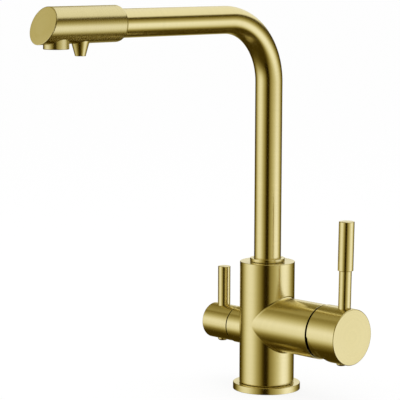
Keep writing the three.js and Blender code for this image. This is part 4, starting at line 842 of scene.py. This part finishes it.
class TAP_OT_inner_pieces(bpy.types.Operator):
    """Gives every piece that keeps its frame mesh its own finish"""

    bl_idname = "tap.finish_inner_pieces"
    bl_label = "Inner pieces"

    def execute(self, context):
        finish = context.scene.tap_finishes
        for material, names in (
                (machined("machined brass", finish.raw_brass, 0.34),
                 "inlet_plate cartridge_seat cartridge_lock_nut mixer_stem filter_valve_seat "
                 "filter_headwork filter_spindle spout_foot nozzle_connector"),
                (machined("drawn copper", finish.copper, 0.30),
                 "hot_supply_pipe cold_supply_pipe mixed_water_pipe filter_supply_pipe "
                 "filtered_water_pipe"),
                (machined("steel", finish.steel, 0.28),
                 "stem_pivot_pin cap_grub_screw filter_grub_screw filter_spindle_clip"),
                (moulded("lapped ceramic", finish.ceramic, 0.18, 0.000004, coat=0.2),
                 "fixed_ceramic_disc moving_ceramic_disc filter_fixed_disc filter_turning_disc"),
                (moulded("black rubber", finish.rubber, 0.62, 0.00004),
                 "base_gasket port_seal_hot port_seal_cold port_seal_outlet filter_spindle_o_ring "
                 "spout_o_ring_lower spout_o_ring_upper spigot_o_ring head_o_ring aerator_seal"),
                (moulded("white plastic", finish.white_plastic, 0.42, 0.00002),
                 "cartridge_base cartridge_rotor spout_slide_ring filtered_water_tube"),
                (moulded("grey plastic", finish.grey_plastic, 0.45, 0.00002),
                 "cartridge_shell aerator_insert nozzle_insert")):
            for name in names.split():
                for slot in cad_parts[name].material_slots:
                    slot.material = material
        return {"FINISHED"}


# -------- studio


def from_table(angle, table):
    """The value of a table at an angle, straight from entry to entry."""
    return np.interp(angle, *zip(*table))


def ramp(angle, start, reach):
    """Runs from 0 at the start to 1 over the reach."""
    return np.clip((angle - start) / reach, 0.0, 1.0)


def tent_light(round_by, lift):
    """How bright the light tent is in a direction, from its turn and lift in degrees.

    The wall's value over turn is multiplied by a value over lift, one for the left half and one for
    the right, and above the roof's edge it gives way to the roof's own value over turn.
    """
    to_right = ramp(round_by, *RIGHT_HALF)
    cloth = from_table(round_by, WALL) * (
        from_table(lift, LEFT_LIFT) * (1 - to_right) + from_table(lift, RIGHT_LIFT) * to_right)
    cloth = np.maximum(cloth, np.where(lift < LOW_TOP, LOW_GLOW, 0.0))
    roof = from_table(round_by, ROOF) * (
        1 - CORNER_SHADE * ramp(lift, *CORNER_LIFT) * ramp(-round_by, *CORNER_TURN))
    over = np.clip((lift - from_table(round_by, ROOF_EDGE)) / ROOF_BLEND + 0.5, 0.0, 1.0)
    return cloth * (1 - over) + roof * over


class TAP_OT_stage(bpy.types.Operator):
    """Sets the floor, the backdrop, the light and the camera"""

    bl_idname = "tap.build_stage"
    bl_label = "Studio"

    def execute(self, context):
        studio = context.scene.tap_studio
        context.scene.view_settings.view_transform = "Standard"
        self.floor(studio)
        self.tent(studio)
        self.world(context, studio)
        self.lamp(context, studio)
        self.camera(context, studio)
        return {"FINISHED"}

    def floor(self, studio):
        """A plain plane a hair under the object, that shows white but for a share of its shadow."""
        far, drop = 14.0, -0.0003
        mesh = bpy.data.meshes.new("floor")
        mesh.from_pydata(
            [(-far, -far, drop), (far, -far, drop), (far, far, drop), (-far, far, drop)], [],
            [(0, 1, 2, 3)])
        build = Nodes(bpy.data.materials.new("floor paint"))
        floor = put("floor", mesh, build.mixed(
            build.math("MULTIPLY", build.seen(), studio.floor_white),
            build.add("ShaderNodeBsdfDiffuse", Color=(*studio.floor_colour, 1.0)),
            build.add("ShaderNodeEmission", Color=WHITE, Strength=1.0)))
        floor.visible_glossy = False

    def tent(self, studio):
        """A round light tent that only the metal shows: a sphere, with its brightness from
        tent_light stored on its points. Darker parts of the cloth are warmer."""
        across, upward, radius, centre = 180, 121, 30.0, np.array([0.0, 0.0, 0.18])
        round_by, lift = (grid.ravel() for grid in np.meshgrid(
            np.linspace(-180.0, 180.0, across, endpoint=False), np.linspace(-90.0, 90.0, upward)))
        camera_side = math.degrees(studio.heading) - 90.0
        angle, rise = np.radians(round_by + camera_side), np.radians(lift)
        points = centre + radius * np.stack(
            [np.cos(rise) * np.cos(angle), np.cos(rise) * np.sin(angle), np.sin(rise)], axis=1)
        index = np.arange(across * upward).reshape(upward, across)
        first, second = index[:-1], index[1:]
        quads = np.stack([first, second, np.roll(second, -1, 1), np.roll(first, -1, 1)], axis=2)
        mesh = bpy.data.meshes.new("light tent")
        mesh.from_pydata(points.tolist(), [], quads.reshape(-1, 4).tolist())
        glow = tent_light(round_by, lift)
        tint = np.stack([*(glow ** power for power in TINT), np.ones_like(glow)], axis=1)
        mesh.color_attributes.new("glow", "FLOAT_COLOR", "POINT").data.foreach_set(
            "color", tint.astype(np.float32).ravel())
        build = Nodes(bpy.data.materials.new("tent cloth"))
        cloth = build.surface(build.add(
            "ShaderNodeEmission", Color=build.attribute("glow", "Color"), Strength=1.0))
        cloth.cycles.emission_sampling = "NONE"
        tent = put("light_tent", mesh, cloth)
        for rays in ("camera", "diffuse", "shadow", "volume_scatter"):
            setattr(tent, "visible_" + rays, False)

    def world(self, context, studio):
        """White wherever the camera, a mirror or glass looks past the floor, and an even light."""
        world = bpy.data.worlds.new("studio")
        context.scene.world = world
        build = Nodes(world, "ShaderNodeOutputWorld")
        build.mixed(
            build.seen(), build.add("ShaderNodeBackground", Color=WHITE, Strength=studio.light_level),
            build.add("ShaderNodeBackground", Color=WHITE, Strength=1.0))

    def lamp(self, context, studio):
        """One large soft lamp high above the tap."""
        light = bpy.data.lights.new("overhead lamp", "AREA")
        light.shape = "DISK"
        light.size = 1.6
        light.energy = studio.lamp_power
        lamp = bpy.data.objects.new("overhead lamp", light)
        lamp.matrix_world = Matrix.Translation((0.0, -0.1, 1.7))
        lamp.visible_glossy = False
        context.scene.collection.objects.link(lamp)

    def camera(self, context, studio):
        """Looks along F = (-sin h cos d, cos h cos d, -sin d) for heading h and dip d, then rolls."""
        h, d, r = studio.heading, studio.dip, studio.roll
        forward = np.array([-math.sin(h) * math.cos(d), math.cos(h) * math.cos(d), -math.sin(d)])
        level = np.array([math.cos(h), math.sin(h), 0.0])
        raised = np.cross(level, forward)
        right = level * math.cos(r) + raised * math.sin(r)
        over = raised * math.cos(r) - level * math.sin(r)
        lens = bpy.data.cameras.new("camera")
        lens.sensor_fit = "HORIZONTAL"
        lens.sensor_width = 36.0
        lens.lens = studio.focal_length
        lens.clip_end = 100.0
        camera = bpy.data.objects.new("camera", lens)
        rows = zip(right, over, -forward, studio.camera_place)
        camera.matrix_world = Matrix([*rows, (0.0, 0.0, 0.0, 1.0)])
        context.scene.collection.objects.link(camera)
        context.scene.camera = camera


# -------- panel and registration


class TAP_PT_panel(bpy.types.Panel):
    """Lists the steps and the settings"""

    bl_idname = "TAP_PT_panel"
    bl_label = "Three way tap"
    bl_space_type = "VIEW_3D"
    bl_region_type = "UI"
    bl_category = "Tap"

    def draw(self, context):
        column = self.layout.column()
        for step in STEPS:
            column.operator(step.bl_idname, text=step.bl_label)
        for group_name, group in GROUPS.items():
            box = column.box()
            box.label(text=group.__doc__)
            for key in group.__annotations__:
                box.prop(getattr(context.scene, group_name), key)


GROUPS = {
    "tap_body": TapBodySizes,
    "tap_handles": TapHandleSizes,
    "tap_spout": TapSpoutSizes,
    "tap_finishes": TapFinishes,
    "tap_studio": TapStudio,
}
STEPS = (
    TAP_OT_stage, TAP_OT_body, TAP_OT_mixer, TAP_OT_filter_valve, TAP_OT_spout, TAP_OT_inner_pieces)
CLASSES = (*GROUPS.values(), *STEPS, TAP_PT_panel)


def register():
    for cls in CLASSES:
        bpy.utils.register_class(cls)
    for name, group in GROUPS.items():
        setattr(bpy.types.Scene, name, PointerProperty(type=group))


def unregister():
    for name in GROUPS:
        delattr(bpy.types.Scene, name)
    for cls in reversed(CLASSES):
        bpy.utils.unregister_class(cls)


def corners(box):
    """A box as plain lists of numbers."""
    return [[float(value) for value in corner] for corner in box]


def main():
    register()
    bpy.ops.tap.build_stage()
    bpy.ops.tap.build_body()
    bpy.ops.tap.build_mixer()
    bpy.ops.tap.build_filter_valve()
    bpy.ops.tap.build_spout()
    bpy.ops.tap.finish_inner_pieces()


if __name__ == "__main__":
    main()
